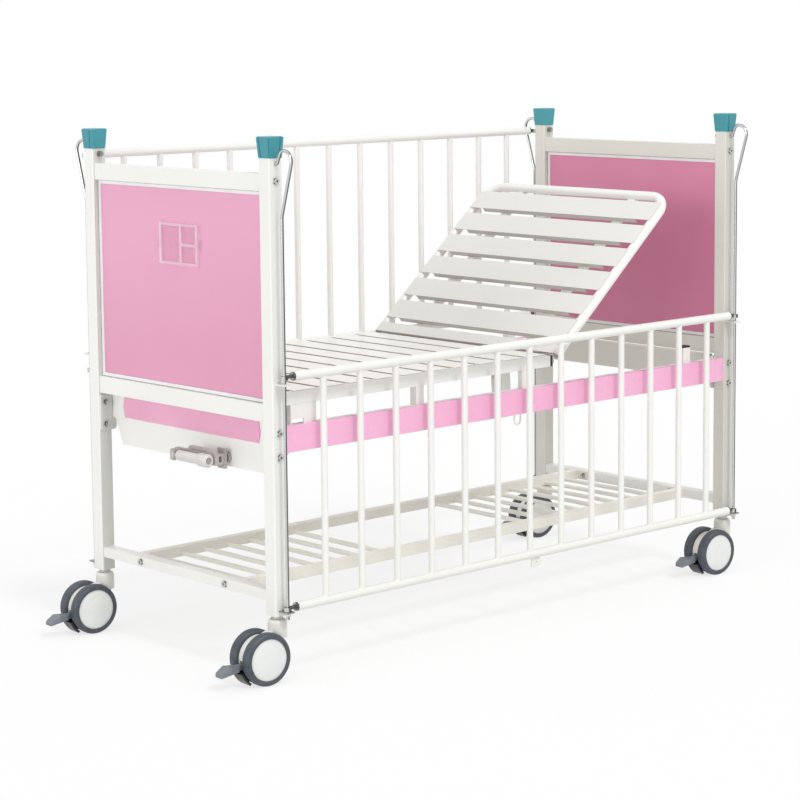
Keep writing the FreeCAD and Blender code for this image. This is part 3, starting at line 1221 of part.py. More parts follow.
# Castor pieces are built about the stem's axis on the floor, trailing to -X, then turned and moved
def finish_castor(thing, name, sign_x, sign_y):
    finish(thing, name, (sign_x * post_x, sign_y * post_y, 0), (0, 0, 1), -s.castor_angle)


# Housing: a domed neck round the stem's pin, a round web between the wheels and a shoe behind them
def make_castor_housing(name, sign_x, sign_y):
    axle_x, axle_z = -s.castor_trail, s.wheel_dia / 2
    low, top = s.neck_bottom, s.neck_top
    start, thick = -s.web_half, 2 * s.web_half
    depth = s.stem_pin_length + s.swivel_gap
    neck = make_castor_neck(name, axle_x, axle_z, depth)
    disc = rod(f"{name}_disc", 2 * s.web_radius, thick, (axle_x, start, axle_z), "Y")
    half = s.web_radius / 2
    shape = [(s.stem_dia / 2, low), (s.stem_dia / 2, low + s.neck_link), (-s.neck_dia / 2, low + s.neck_link),
             (axle_x, axle_z + s.web_radius - s.link_sink), (axle_x, axle_z), (axle_x + half, axle_z)]
    link = plate(f"{name}_link", "XZ_Plane", [shape], thick)
    reach = s.wheel_dia / 2 + s.shoe_gap + s.shoe_thick / 2
    angles = (s.shoe_start + s.shoe_arm_inset, s.shoe_start + s.shoe_sweep - s.shoe_arm_inset)
    arm_shape = [(axle_x, axle_z)]
    arm_shape += [(axle_x - reach * cosine(angle), axle_z - reach * sine(angle)) for angle in angles]
    arm = plate(f"{name}_shoe_arm", "XZ_Plane", [arm_shape], thick)
    pivot_x, pivot_z, hub = -s.pedal_pivot_out, s.pedal_pivot_height, s.pedal_hub
    cheek = s.pedal_arm_half + s.pedal_cheek_gap
    slot = span(f"{name}_pedal_slot", (2 * pivot_x, pivot_x + s.pedal_slot_reach), (-cheek, cheek),
                (pivot_z - s.pedal_slot_drop, pivot_z + 2 * hub))
    pin_bore = s.pedal_pin + 2 * s.pedal_pin_gap
    tools = [rod(f"{name}_axle_bore", s.axle_dia + 2 * s.axle_gap, thick, (axle_x, start, axle_z), "Y"),
             rod(f"{name}_pedal_hole", pin_bore, thick, (pivot_x, start, pivot_z), "Y"),
             rod(f"{name}_stem_bore", s.stem_pin + 2 * s.stem_pin_gap, top, (0, 0, top - depth)), slot]
    web = cut(f"{name}_web", join(f"{name}_web_body", disc, link, arm), *tools)
    solid = join(f"{name}_body", neck, web, make_shoe(name, axle_x, axle_z))
    pin = rod(f"{name}_pedal_pin", s.pedal_pin, thick, (pivot_x, start, pivot_z), "Y")
    finish_castor(group(name, solid, pin), name, sign_x, sign_y)


# Neck: a round dome that leaves room for the wheels, bored for the stem's pin
def make_castor_neck(name, axle_x, axle_z, depth):
    outer, bore = s.neck_dia / 2, s.stem_pin / 2 + s.stem_pin_gap
    low, top = s.neck_bottom, s.neck_top
    dome = turned(f"{name}_dome", [(0, low), (outer, low), (outer, top), (bore, top), (bore, top - depth),
                                   (0, top - depth)])
    dress(dome, "Fillet", s.neck_round, lambda edge: is_ring(edge, outer - s.neck_round, top - s.neck_round))
    room = s.wheel_dia + 2 * s.wheel_clearance
    rooms = [rod(f"{name}_room", room, s.wheel_half, (axle_x, start, axle_z), "Y")
             for start in (s.web_half, -s.web_half - s.wheel_half)]
    return cut(f"{name}_neck", dome, *rooms)


# Shoe: a stretch of ring behind and below the wheels, concentric with them
def make_shoe(name, axle_x, axle_z):
    radius = s.wheel_dia / 2 + s.shoe_gap
    outer = doc.addObject("Part::Cylinder", f"{name}_shoe_outer")
    bind(outer, "Radius", radius + s.shoe_thick)
    bind(outer, "Height", 2 * s.shoe_half)
    bind(outer, "Angle", s.shoe_sweep)
    place(outer, (0, 0, 0), (0, 0, 1), 180 - s.shoe_start - s.shoe_sweep)
    inner = rod(f"{name}_shoe_inner", 2 * radius, 2 * s.shoe_half, (0, 0, 0))
    shoe = cut(f"{name}_shoe", outer, inner)
    return place(shoe, (axle_x, -s.shoe_half, axle_z), (1, 0, 0), -90)


# Tyres: square rings with rounded treads
def make_castor_tyres(name, sign_x, sign_y):
    tyres = []
    outer, inner = s.wheel_dia / 2, s.disc_dia / 2
    width = s.wheel_half - s.wheel_inner
    for number, start in enumerate((-s.wheel_half, s.wheel_inner)):
        tyre = turned(f"{name}_{number}", [(inner, 0), (outer, 0), (outer, width), (inner, width)])
        dress(tyre, "Fillet", s.tyre_round, lambda edge: is_ring(edge, (inner + outer) / 2, -outer))
        tyres.append(place(tyre, (-s.castor_trail, start, outer), *quarter_turns["Y"]))
    finish_castor(group(name, *tyres), name, sign_x, sign_y)


# Discs: a disc with a domed face in each tyre, on one axle through the web
def make_castor_discs(name, sign_x, sign_y):
    rim, dome = s.disc_dia / 2, s.disc_dome
    radius = (rim * rim + dome * dome) / (2 * dome)
    face = s.wheel_half - s.disc_recess + dome
    axle_x, height = -s.castor_trail, s.wheel_dia / 2
    discs = []
    for side, sign in sides:
        start = ordered(sign * s.wheel_inner, sign * face)[0]
        drum = rod(f"{name}_{side}_drum", s.disc_dia, face - s.wheel_inner, (axle_x, start, height), "Y")
        ball = doc.addObject("Part::Sphere", f"{name}_{side}_ball")
        bind(ball, "Radius", radius)
        place(ball, (axle_x, sign * (face - radius), height), (1, 0, 0), 90 * sign)
        discs.append(overlap(f"{name}_{side}", drum, ball))
    axle = rod(f"{name}_axle", s.axle_dia, 2 * s.wheel_inner, (axle_x, -s.wheel_inner, height), "Y")
    finish_castor(join(name, *discs, axle), name, sign_x, sign_y)


# Brake pedal: an arm on a pin in the web and a foot plate behind the wheels, which droops to its tip
def make_castor_pedal(name, sign_x, sign_y):
    tip, middle, start = s.pedal_tip, s.pedal_middle, s.pedal_start
    half, root = s.pedal_half, s.pedal_root_half
    top, low = s.pedal_height, s.pedal_height - s.pedal_thick
    tip_top = top - s.pedal_droop
    plan = [(-tip, -pedal_front), (-tip, pedal_front), (-middle, half), (-start, root), (-start, -root),
            (-middle, -half)]
    side = [(-start, low), (-start, top), (-middle, top + s.pedal_crown), (-tip, tip_top),
            (-tip, tip_top - s.pedal_tip_thick), (-middle, low - s.pedal_belly)]
    flat = plate(f"{name}_plan", "XY_Plane", [plan], s.wheel_dia)
    dress(flat, "Fillet", s.pedal_round, lambda edge: runs_along(edge, (0, 0, 1)) and is_left_of(edge, start))
    rim = plate(f"{name}_side", "XZ_Plane", [side], 2 * half)
    dress(rim, "Fillet", s.pedal_edge, lambda edge: runs_along(edge, (0, 1, 0)) and is_left_of(edge, middle))
    foot = overlap(f"{name}_foot", flat, rim)
    pivot_x, pivot_z, hub = -s.pedal_pivot_out, s.pedal_pivot_height, s.pedal_hub
    root_x = -start - s.pedal_lip
    arm_shape = [(root_x, low), (root_x, top), (pivot_x, pivot_z + hub), (pivot_x, pivot_z - hub)]
    arm = plate(f"{name}_arm", "XZ_Plane", [arm_shape], 2 * s.pedal_arm_half)
    eye = rod(f"{name}_eye", 2 * hub, 2 * s.pedal_arm_half, (pivot_x, -s.pedal_arm_half, pivot_z), "Y")
    bore = rod(f"{name}_bore", s.pedal_pin + 2 * s.pedal_pin_gap, 2 * s.pedal_arm_half,
               (pivot_x, -s.pedal_arm_half, pivot_z), "Y")
    finish_castor(cut(name, join(f"{name}_body", foot, arm, eye), bore), name, sign_x, sign_y)


def make_castors():
    makers = {"housing": make_castor_housing, "tyres": make_castor_tyres, "discs": make_castor_discs,
              "pedal": make_castor_pedal}
    for end, sign_x in ends:
        for side, sign_y in sides:
            for piece, maker in makers.items():
                maker(f"{end}_{side}_castor_{piece}", sign_x, sign_y)


def check_and_write():
    doc.recompute()
    for thing in doc.Objects:
        if "Invalid" in thing.State or "Error" in thing.State:
            raise RuntimeError(f"{thing.Label} failed: {thing.State}")
    for thing in subparts:
        if thing.Shape.isNull() or not thing.Shape.isValid():
            raise RuntimeError(f"{thing.Label} has no valid shape")
    os.makedirs("parts", exist_ok=True)
    for thing in subparts:
        thing.Shape.exportStep(f"parts/{thing.Label}.step")
        print(thing.Label, len(thing.Shape.Solids), "solids", round(thing.Shape.Volume), "mm3")


make_posts()
make_caps()
make_boards()
make_card_holder()
make_foot_end_beam()
make_foot_end_strip()
make_head_end_beam()
make_sides()
make_brackets()
make_frame_bolts()
make_guide_rods()
make_rod_brackets()
make_rail("near", -1, sized(0), True)
make_rail_eyes("near", -1, sized(0))
make_rail("far", 1, rail_lift, False)
make_rail_eyes("far", 1, rail_lift)
make_deck_frame()
make_deck_slats()
make_deck_legs()
make_tube_plugs()
make_hinge_pins()
make_backrest_frame()
make_backrest_slats()
make_backrest_lever()
make_push_tube()
make_lead_screw()
make_screw_bearing()
make_crank_arm()
make_crank_spindle()
make_crank_grip()
make_rack()
make_drainage_hooks()
make_castor_stems()
make_castors()
check_and_write()
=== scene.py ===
import json
import math
import bpy
from mathutils import Matrix, Vector


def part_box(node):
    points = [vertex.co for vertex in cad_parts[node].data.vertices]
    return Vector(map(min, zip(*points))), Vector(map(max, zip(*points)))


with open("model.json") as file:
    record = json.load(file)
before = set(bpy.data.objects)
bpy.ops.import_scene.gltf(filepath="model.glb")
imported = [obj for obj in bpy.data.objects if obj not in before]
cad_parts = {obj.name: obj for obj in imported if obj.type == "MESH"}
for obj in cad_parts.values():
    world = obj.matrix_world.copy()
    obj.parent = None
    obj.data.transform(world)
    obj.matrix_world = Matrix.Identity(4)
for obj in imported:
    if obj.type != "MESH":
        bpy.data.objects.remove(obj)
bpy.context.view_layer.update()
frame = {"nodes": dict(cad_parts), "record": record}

nodes = frame["nodes"]
print("frame loaded:", len(nodes), "nodes")


# an output socket that can stand in a sum; numbers alone never make a node
class Wire:
    def __init__(self, finish, socket):
        self.finish, self.socket = finish, socket

    def __add__(self, other):
        return self.finish.math("ADD", self, other)

    def __radd__(self, other):
        return self.finish.math("ADD", other, self)

    def __sub__(self, other):
        return self.finish.math("SUBTRACT", self, other)

    def __rsub__(self, other):
        return self.finish.math("SUBTRACT", other, self)

    def __mul__(self, other):
        return self.finish.math("MULTIPLY", self, other)

    def __rmul__(self, other):
        return self.finish.math("MULTIPLY", other, self)

    # the larger of two values
    def over(self, other):
        return self.finish.math("MAXIMUM", self, other)

    # smooth step from start to end as the value goes from low to high
    def band(self, low, high, start=0.0, end=1.0):
        settings = {"interpolation_type": "SMOOTHSTEP"}
        values = {"Value": self, "From Min": low, "From Max": high, "To Min": start, "To Max": end}
        return self.finish.node("ShaderNodeMapRange", settings, values)


# the node tree of one material or of the world: node() makes any node, the rest are common mixtures
class Finish:
    def __init__(self, holder):
        self.holder = holder
        holder.use_nodes = True
        self.tree = holder.node_tree
        self.tree.nodes.clear()

    def node(self, kind, settings=None, values=None, out=0):
        made = self.tree.nodes.new(kind)
        for key, value in (settings or {}).items():
            setattr(made, key, value)
        for key, value in (values or {}).items():
            socket = self.find(made.inputs, key)
            if isinstance(value, Wire):
                self.tree.links.new(value.socket, socket)
            else:
                socket.default_value = value
        return Wire(self, self.find(made.outputs, out))

    def find(self, sockets, key):
        if isinstance(key, int):
            return sockets[key]
        return next(socket for socket in sockets if key in (socket.identifier, socket.name))

    def math(self, operation, *values):
        return self.node("ShaderNodeMath", {"operation": operation}, dict(enumerate(values)))

    def place(self, stretch=(1, 1, 1)):
        point = self.node("ShaderNodeTexCoord", out="Object")
        return self.node("ShaderNodeMapping", None, {"Vector": point, "Scale": stretch})

    def noise(self, scale, detail, roughness, stretch=(1, 1, 1)):
        values = {"Vector": self.place(stretch), "Scale": scale, "Detail": detail, "Roughness": roughness}
        return self.node("ShaderNodeTexNoise", None, values, "Fac")

    # a noise of which only a part shows: scale, detail, roughness, and where the part starts and ends
    def patch(self, pattern, start=0.0, end=1.0):
        scale, detail, roughness, low, high = pattern
        return self.noise(scale, detail, roughness).band(low, high, start, end)

    def axis(self, letter):
        return self.node("ShaderNodeSeparateXYZ", None, {"Vector": self.place()}, letter)

    # how far a face looks along a direction of the CAD frame, in every pose
    def facing(self, ahead):
        normal = self.node("ShaderNodeTexCoord", out="Normal")
        return self.node("ShaderNodeVectorMath", {"operation": "DOT_PRODUCT"}, {0: normal, 1: ahead}, "Value")

    def mix(self, share, first, second):
        values = {"Factor_Float": share, "A_Color": first, "B_Color": second}
        return self.node("ShaderNodeMix", {"data_type": "RGBA"}, values, "Result_Color")

    def bump(self, height, strength, depth):
        return self.node("ShaderNodeBump", None, {"Height": height, "Strength": strength, "Distance": depth})

    def output(self, shader, kind="ShaderNodeOutputMaterial"):
        end = self.tree.nodes.new(kind)
        self.tree.links.new(shader.socket, end.inputs["Surface"])
        return self.holder

    def principled(self, values):
        return self.output(self.node("ShaderNodeBsdfPrincipled", None, values))


def newFinish(name):
    return Finish(bpy.data.materials.new(name))


# a colour as it is read from a picture, 0 to 255, as Blender's linear values
def rgb(red, green, blue):
    def line(value):
        share = value / 255
        return share / 12.92 if share <= 0.04045 else ((share + 0.055) / 1.055) ** 2.4
    return (line(red), line(green), line(blue), 1.0)


axisX, axisY, axisZ = (1.0, 0.0, 0.0), (0.0, 1.0, 0.0), (0.0, 0.0, 1.0)

# In the dictionaries below five numbers in a row are a pattern for patch() and three are a noise, a bump is
# its strength and depth in metres, and a turn is how squarely a face looks where a colour starts and is full.

# powder coat: a fine orange peel, faint drifts of tone and dust low down and on ledges
powder = {"colour": rgb(247, 247, 243), "shade": rgb(241, 241, 236),
          "drift": (5.0, 3.0, 0.5, 0.35, 0.7), "driftShare": 0.4,
          "dust": rgb(222, 220, 212), "dustHeights": (0.30, 0.02), "dustShare": 0.30,
          "ledgeTurn": (0.75, 0.98), "ledgeDust": (38.0, 5.0, 0.62, 0.50, 0.74),
          "ledgeShare": 0.16, "ledgeRoughness": 0.12,
          "smear": (24.0, 4.0, 0.6, 0.3, 0.75), "roughness": (0.29, 0.42),
          "coat": 0.15, "coatRoughness": 0.22, "peel": (620.0, 2.0, 0.55), "grain": (2108.0, 1.0, 0.5),
          "grainShare": 0.35, "bump": (0.30, 0.0001)}

# folded slats: their lips carry a painted shade, darker than the faces that look along top
slatPaint = {**powder, "colour": rgb(248, 246, 241), "lipShade": rgb(188, 184, 174), "top": axisZ,
             "lipShadeTurn": (0.30, 0.10), "peel": (520.0, 2.0, 0.55), "grain": (1768.0, 1.0, 0.5)}
# the backrest's slats: a shaded copy of the slat paint, its painted shade a darker colour and greyer lips,
# with top tilted back with the backrest
backTilt = math.radians(41)
backShadePaint = {**slatPaint, "colour": rgb(233, 233, 228), "shade": rgb(227, 227, 222),
             "lipShade": rgb(196, 194, 186), "top": (-math.sin(backTilt), 0.0, math.cos(backTilt))}

# the head end as a shaded copy with its shade painted into a darker colour, the far foot post with the
# brackets, and the yellower rack; near is a painted shade, the greyer colour of faces that look to the near
# side
# the head end's parts: a shaded copy of the white powder, its shade painted into a darker colour
headShadePaint = {**powder, "colour": rgb(229, 227, 219), "shade": rgb(221, 219, 210),
             "near": rgb(216, 214, 205), "nearShadeTurn": (-0.75, -0.95)}
farShadePaint = {**powder, "near": rgb(214, 215, 209), "nearShadeTurn": (-0.75, -0.95)}
rackPaint = {**powder, "colour": rgb(243, 240, 230), "shade": rgb(237, 234, 223)}


def powderCoat(name, values):
    f = newFinish(name)
    base = f.mix(f.patch(values["drift"]) * values["driftShare"], values["colour"], values["shade"])
    low = f.axis("Z").band(*values["dustHeights"])
    ledge = f.facing(axisZ).band(*values["ledgeTurn"]) * f.patch(values["ledgeDust"])
    base = f.mix(low * values["dustShare"] + ledge * values["ledgeShare"], base, values["dust"])
    # painted shade on the slats' lips, where their faces turn away from top
    if "lipShade" in values:
        tilt = f.facing(values["top"])
        base = f.mix((tilt * tilt).band(*values["lipShadeTurn"]), base, values["lipShade"])
    # painted shade: faces that look to the near side are greyer
    if "near" in values:
        base = f.mix(f.facing(axisY).band(*values["nearShadeTurn"]), base, values["near"])
    skin = f.noise(*values["peel"]) + f.noise(*values["grain"]) * values["grainShare"]
    smear = f.patch(values["smear"], *values["roughness"])
    return f.principled({"Base Color": base, "Roughness": smear + ledge * values["ledgeRoughness"],
                         "Coat Weight": values["coat"], "Coat Roughness": values["coatRoughness"],
                         "Normal": f.bump(skin, *values["bump"])})


# laminate boards: a tight satin skin, flecked a little, with a painted shade that deepens the tone towards
# the lower edge
laminate = {"shadeShare": 0.75, "cloud": (3.2, 2.0, 0.5, 0.3, 0.75), "cloudShare": 0.25,
            "flecks": (900.0, 2.0, 0.6, 0.58, 0.72), "fleckShare": 0.10, "smear": (16.0, 4.0, 0.5, 0.3, 0.75),
            "coatRoughness": 0.16, "skin": (320.0, 3.0, 0.55), "bump": (0.08, 0.0001)}
footBoard = {**laminate, "colour": rgb(238, 172, 202), "deep": rgb(228, 156, 185),
             "fleck": rgb(246, 192, 216), "shadeHeights": (1.10, 0.66), "roughness": (0.31, 0.41),
             "coat": 0.22}
# the head board: a shaded copy of the foot board's pink, its shade painted into deeper colours
headShadeBoard = {**laminate, "colour": rgb(226, 142, 175), "deep": rgb(212, 122, 158),
             "fleck": rgb(234, 160, 190), "shadeHeights": (1.14, 0.80), "roughness": (0.33, 0.43),
             "coat": 0.18}


def pinkLaminate(name, values):
    f = newFinish(name)
    # painted shade: the board darkens towards its lower edge, mixed with a random cloud of tone
    lowShade = f.axis("Z").band(*values["shadeHeights"])
    depth = lowShade * values["shadeShare"] + f.patch(values["cloud"]) * values["cloudShare"]
    base = f.mix(depth, values["colour"], values["deep"])
    base = f.mix(f.patch(values["flecks"]) * values["fleckShare"], base, values["fleck"])
    return f.principled({"Base Color": base, "Roughness": f.patch(values["smear"], *values["roughness"]),
                         "Coat Weight": values["coat"], "Coat Roughness": values["coatRoughness"],
                         "Normal": f.bump(f.noise(*values["skin"]), *values["bump"])})


# extruded cover strips: faint draw lines along their length
strip = {"drift": (7.0, 3.0, 0.5, 0.35, 0.7), "driftShare": 0.5, "draw": (220.0, 2.0, 0.5),
         "drawShows": (0.55, 0.75), "drawShare": 0.12, "smear": (30.0, 3.0, 0.5, 0.3, 0.75),
         "coat": 0.2, "coatRoughness": 0.18, "bump": (0.10, 0.0002)}
sideStrip = {**strip, "colour": rgb(254, 189, 223), "deep": rgb(251, 179, 215), "roughness": (0.26, 0.38),
             "stretch": (0.02, 1, 1)}
footStrip = {**strip, "colour": rgb(240, 175, 204), "deep": rgb(232, 164, 194), "roughness": (0.28, 0.40),
             "stretch": (1, 0.02, 1)}


def pinkStrip(name, values):
    f = newFinish(name)
    draw = f.noise(*values["draw"], values["stretch"])
    base = f.mix(f.patch(values["drift"]) * values["driftShare"], values["colour"], values["deep"])
    base = f.mix(draw.band(*values["drawShows"]) * values["drawShare"], base, values["deep"])
    return f.principled({"Base Color": base, "Roughness": f.patch(values["smear"], *values["roughness"]),
                         "Coat Weight": values["coat"], "Coat Roughness": values["coatRoughness"],
                         "Normal": f.bump(draw, *values["bump"])})


# moulded plastics: an eroded grain and rubbed spots
moulded = {"drift": (14.0, 3.0, 0.5, 0.35, 0.72), "driftShare": 0.6, "worn": (90.0, 4.0, 0.6, 0.56, 0.80),
           "wornRoughness": 0.06, "smear": (26.0, 4.0, 0.5, 0.3, 0.75), "bump": (0.35, 0.0001)}
teal = {**moulded, "colour": rgb(62, 154, 166), "deep": rgb(50, 140, 152), "roughness": (0.30, 0.44),
        "coat": 0.15, "grain": (420.0, 3.0, 0.6)}
plug = {**moulded, "colour": rgb(40, 41, 44), "deep": rgb(28, 29, 31), "roughness": (0.42, 0.56),
        "coat": 0.0, "grain": (520.0, 3.0, 0.6)}
handle = {**moulded, "colour": rgb(222, 218, 216), "deep": rgb(204, 200, 198), "roughness": (0.30, 0.44),
          "coat": 0.10, "grain": (360.0, 3.0, 0.6)}
arm = {**moulded, "colour": rgb(186, 180, 177), "deep": rgb(160, 155, 152), "roughness": (0.34, 0.48),
       "coat": 0.05, "grain": (300.0, 3.0, 0.6)}
disc = {**moulded, "colour": rgb(238, 240, 237), "deep": rgb(230, 232, 229), "roughness": (0.26, 0.40),
        "coat": 0.20, "grain": (300.0, 3.0, 0.6)}
pedal = {**moulded, "colour": rgb(122, 129, 136), "deep": rgb(108, 115, 123), "roughness": (0.40, 0.54),
         "coat": 0.0, "grain": (380.0, 3.0, 0.6)}

# castor housing: pale, with a black shoe below a height
fork = {**moulded, "colour": rgb(234, 232, 225), "deep": rgb(224, 222, 214), "roughness": (0.32, 0.46),
        "coat": 0.10, "grain": (420.0, 3.0, 0.6), "shoe": rgb(34, 35, 38), "shoeHeights": (0.0414, 0.0406)}

# beading of the end boards: a thin painted shade, patched with grime, along the joint where it meets the
# rails, at low and high, and the posts, at half the board's width; no rubbed spots
bead = {**moulded, "colour": rgb(246, 246, 246), "deep": rgb(238, 238, 238), "roughness": (0.28, 0.42),
        "coat": 0.10, "grain": (420.0, 3.0, 0.6), "driftShare": 1.0, "wornRoughness": 0.0,
        "bump": (0.30, 0.0001), "low": 0.650, "high": 1.141, "half": 0.322, "joint": 0.0034,
        "shadeAndGrime": rgb(128, 128, 122), "dirt": (60.0, 4.0, 0.6, 0.20, 0.55), "dirtShares": (0.45, 1.0)}


# where the painted shade with grime lies: a band along each joint with the rails and the posts, broken up by
# dirt noise
def jointShadeMask(f, values):
    width, low, high, half = (values[key] for key in ("joint", "low", "high", "half"))
    height, across = f.axis("Z"), f.math("ABSOLUTE", f.axis("Y"))
    edge = height.band(low + width, low).over(height.band(high - width, high))
    return edge.over(across.band(half - width, half)) * f.patch(values["dirt"], *values["dirtShares"])


def mouldedPlastic(name, values):
    f = newFinish(name)
    base = f.mix(f.patch(values["drift"]) * values["driftShare"], values["colour"], values["deep"])
    if "shoe" in values:
        base = f.mix(f.axis("Z").band(*values["shoeHeights"]), base, values["shoe"])
    # painted shade with grime along the joints with the rails and posts
    if "joint" in values:
        base = f.mix(jointShadeMask(f, values), base, values["shadeAndGrime"])
    smear = f.patch(values["smear"], *values["roughness"]) + f.patch(values["worn"]) * values["wornRoughness"]
    return f.principled({"Base Color": base, "Roughness": smear, "Coat Weight": values["coat"],
                         "Normal": f.bump(f.noise(*values["grain"]), *values["bump"])})


# metals: zinc with a patchy haze, where rim is a painted shade, the colour of faces that look neither along
# the bed nor across it; chrome drawn along the rods, with a painted reflection of a dark belt as a room would
# leave in it; greasy steel
metal = {"streak": (900.0, 3.0, 0.55), "dullShare": 0.80, "hazeShare": 0.30, "hazeRoughness": 0.6}
zinc = {**metal, "colour": rgb(204, 204, 202), "haze": (90.0, 4.0, 0.6, 0.35, 0.75), "roughness": 0.28,
        "brush": 0.10, "along": (1, 1, 1), "bump": (0.20, 0.0001), "rim": rgb(112, 112, 110),
        "rimShadeTurn": (0.92, 0.80)}
chrome = {**metal, "colour": rgb(206, 207, 207), "haze": (24.0, 4.0, 0.6, 0.35, 0.75), "roughness": 0.14,
          "brush": 0.05, "along": (1, 1, 0.03), "bump": (0.15, 0.0001), "beltReflection": rgb(96, 97, 96),
          "beltReflectionStart": (-0.60, -0.25), "beltReflectionEnd": (0.80, 0.45)}
steel = {**metal, "colour": rgb(186, 184, 178), "haze": (40.0, 4.0, 0.6, 0.35, 0.75), "roughness": 0.32,
         "brush": 0.12, "along": (0.05, 1, 1), "bump": (0.22, 0.0001)}


def platedMetal(name, values):
    f = newFinish(name)
    streak = f.noise(*values["streak"], values["along"])
    haze = f.patch(values["haze"])
    dull = tuple(values["dullShare"] * part for part in values["colour"][:3]) + (1.0,)
    base = f.mix(haze * values["hazeShare"], values["colour"], dull)
    # painted shade: a darker rim on faces that look neither along the bed nor across it, as on the sides of
    # bolt heads
    if "rim" in values:
        side, front = f.facing(axisX), f.facing(axisY)
        base = f.mix((side * side).over(front * front).band(*values["rimShadeTurn"]), base, values["rim"])
    # painted reflection: a dark belt on faces that look only a little along the bed
    if "beltReflection" in values:
        side = f.facing(axisX)
        base = f.mix(side.band(*values["beltReflectionStart"]) * side.band(*values["beltReflectionEnd"]), base, values["beltReflection"])
    rough = haze * (values["roughness"] * values["hazeRoughness"]) + values["roughness"]
    return f.principled({"Base Color": base, "Metallic": 1.0, "Roughness": rough + streak * values["brush"],
                         "Normal": f.bump(streak, *values["bump"])})


# rod brackets: white tabs, at two heights, between bright nuts
tab = {"paint": rgb(240, 239, 233), "metal": rgb(150, 150, 148), "edge": 0.0002,
       "heights": ((0.6965, 0.7015), (0.1595, 0.1655)), "haze": (90.0, 4.0, 0.6, 0.35, 0.75),
       "dull": rgb(190, 189, 184), "dullShare": 0.25, "roughness": 0.30, "hazeRoughness": 0.15,
       "skin": (700.0, 2.0, 0.55), "bump": (0.12, 0.0001)}


def tabAndNut(name, values):
    f = newFinish(name)
    height, edge = f.axis("Z"), values["edge"]
    parts = [height.band(low - edge, low) * height.band(high + edge, high) for low, high in values["heights"]]
    painted = parts[0] + parts[1]
    haze = f.patch(values["haze"])
    base = f.mix(painted, values["metal"], values["paint"])
    base = f.mix(haze * values["dullShare"], base, values["dull"])
    return f.principled({"Base Color": base, "Metallic": 1 - painted,
                         "Roughness": haze * values["hazeRoughness"] + values["roughness"],
                         "Normal": f.bump(f.noise(*values["skin"]), *values["bump"])})


# tyres: blue-grey rubber, dusty where it meets the floor
tread = {"colour": rgb(78, 84, 93), "deep": rgb(64, 70, 78), "drift": (30.0, 4.0, 0.6, 0.35, 0.7),
         "dust": rgb(132, 133, 134), "dustHeights": (0.05, 0.0), "dustPatch": (120.0, 4.0, 0.65, 0.45, 0.7),
         "dustShare": 0.30, "dustRoughness": 0.2, "roughness": 0.50, "skin": (700.0, 3.0, 0.6),
         "bump": (0.35, 0.00012)}


def rubberTread(name, values):
    f = newFinish(name)
    base = f.mix(f.patch(values["drift"]), values["colour"], values["deep"])
    dusty = f.axis("Z").band(*values["dustHeights"]) * f.patch(values["dustPatch"])
    base = f.mix(dusty * values["dustShare"], base, values["dust"])
    return f.principled({"Base Color": base,
                         "Roughness": dusty * values["dustRoughness"] + values["roughness"],
                         "Normal": f.bump(f.noise(*values["skin"]), *values["bump"])})


# card holder: nearly clear in its flat back, paler and denser in its raised rim and its walls
clear = {"face": rgb(252, 214, 232), "wall": rgb(255, 240, 248), "faceAlpha": 0.14, "wallAlpha": 0.46,
         "rimDepths": (0.003, 0.002), "wallTurn": (0.60, 0.20), "scratch": (500.0, 2.0, 0.5),
         "along": (1, 0.05, 1), "scratchShows": (0.62, 0.75), "scratchRoughness": 0.12,
         "scratchAlpha": 0.10, "roughness": 0.14, "coat": 0.6, "coatRoughness": 0.06,
         "wave": (40.0, 3.0, 0.5), "bump": (0.08, 0.0006)}


def clearHolder(name, values):
    f = newFinish(name)
    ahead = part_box("card_holder")[0].x
    rim = f.axis("X").band(*(ahead + depth for depth in values["rimDepths"]))
    front = f.facing(axisX)
    wall = rim.over((front * front).band(*values["wallTurn"]))
    scratch = f.noise(*values["scratch"], values["along"]).band(*values["scratchShows"])
    alpha = wall * (values["wallAlpha"] - values["faceAlpha"]) + values["faceAlpha"]
    return f.principled({"Base Color": f.mix(wall, values["face"], values["wall"]),
                         "Roughness": scratch * values["scratchRoughness"] + values["roughness"],
                         "Coat Weight": values["coat"], "Coat Roughness": values["coatRoughness"],
                         "Alpha": alpha + scratch * values["scratchAlpha"],
                         "Normal": f.bump(f.noise(*values["wave"]), *values["bump"])})


# the finish of each material slot, and of the nodes that look a little different from their slot
finishes = {
    "frame_paint": powderCoat("whitePowder", powder),
    "slat_paint": powderCoat("slatPowder", slatPaint),
    "cap_plastic": mouldedPlastic("tealCap", teal),
    "panel_laminate": pinkLaminate("footLaminate", footBoard),
    "panel_rose": pinkLaminate("headShadedLaminate", headShadeBoard),
    "bead_plastic": mouldedPlastic("panelBead", bead),
    "holder_plastic": clearHolder("clearHolder", clear),
    "strip_plastic": pinkStrip("sideStrip", sideStrip),
    "bolt_zinc": platedMetal("zincPlate", zinc),
    "rod_chrome": platedMetal("rodChrome", chrome),
    "plug_plastic": mouldedPlastic("blackPlug", plug),
    "screw_steel": platedMetal("greasedSteel", steel),
    "crank_plastic": mouldedPlastic("greyHandle", handle),
    "tyre_rubber": rubberTread("greyTyre", tread),
    "disc_plastic": mouldedPlastic("whiteDisc", disc),
    "castor_plastic": mouldedPlastic("castorFork", fork),
    "pedal_plastic": mouldedPlastic("greyPedal", pedal),
}
headShadedPowder = powderCoat("headShadedPowder", headShadePaint)
farShadedPowder = powderCoat("farShadedPowder", farShadePaint)
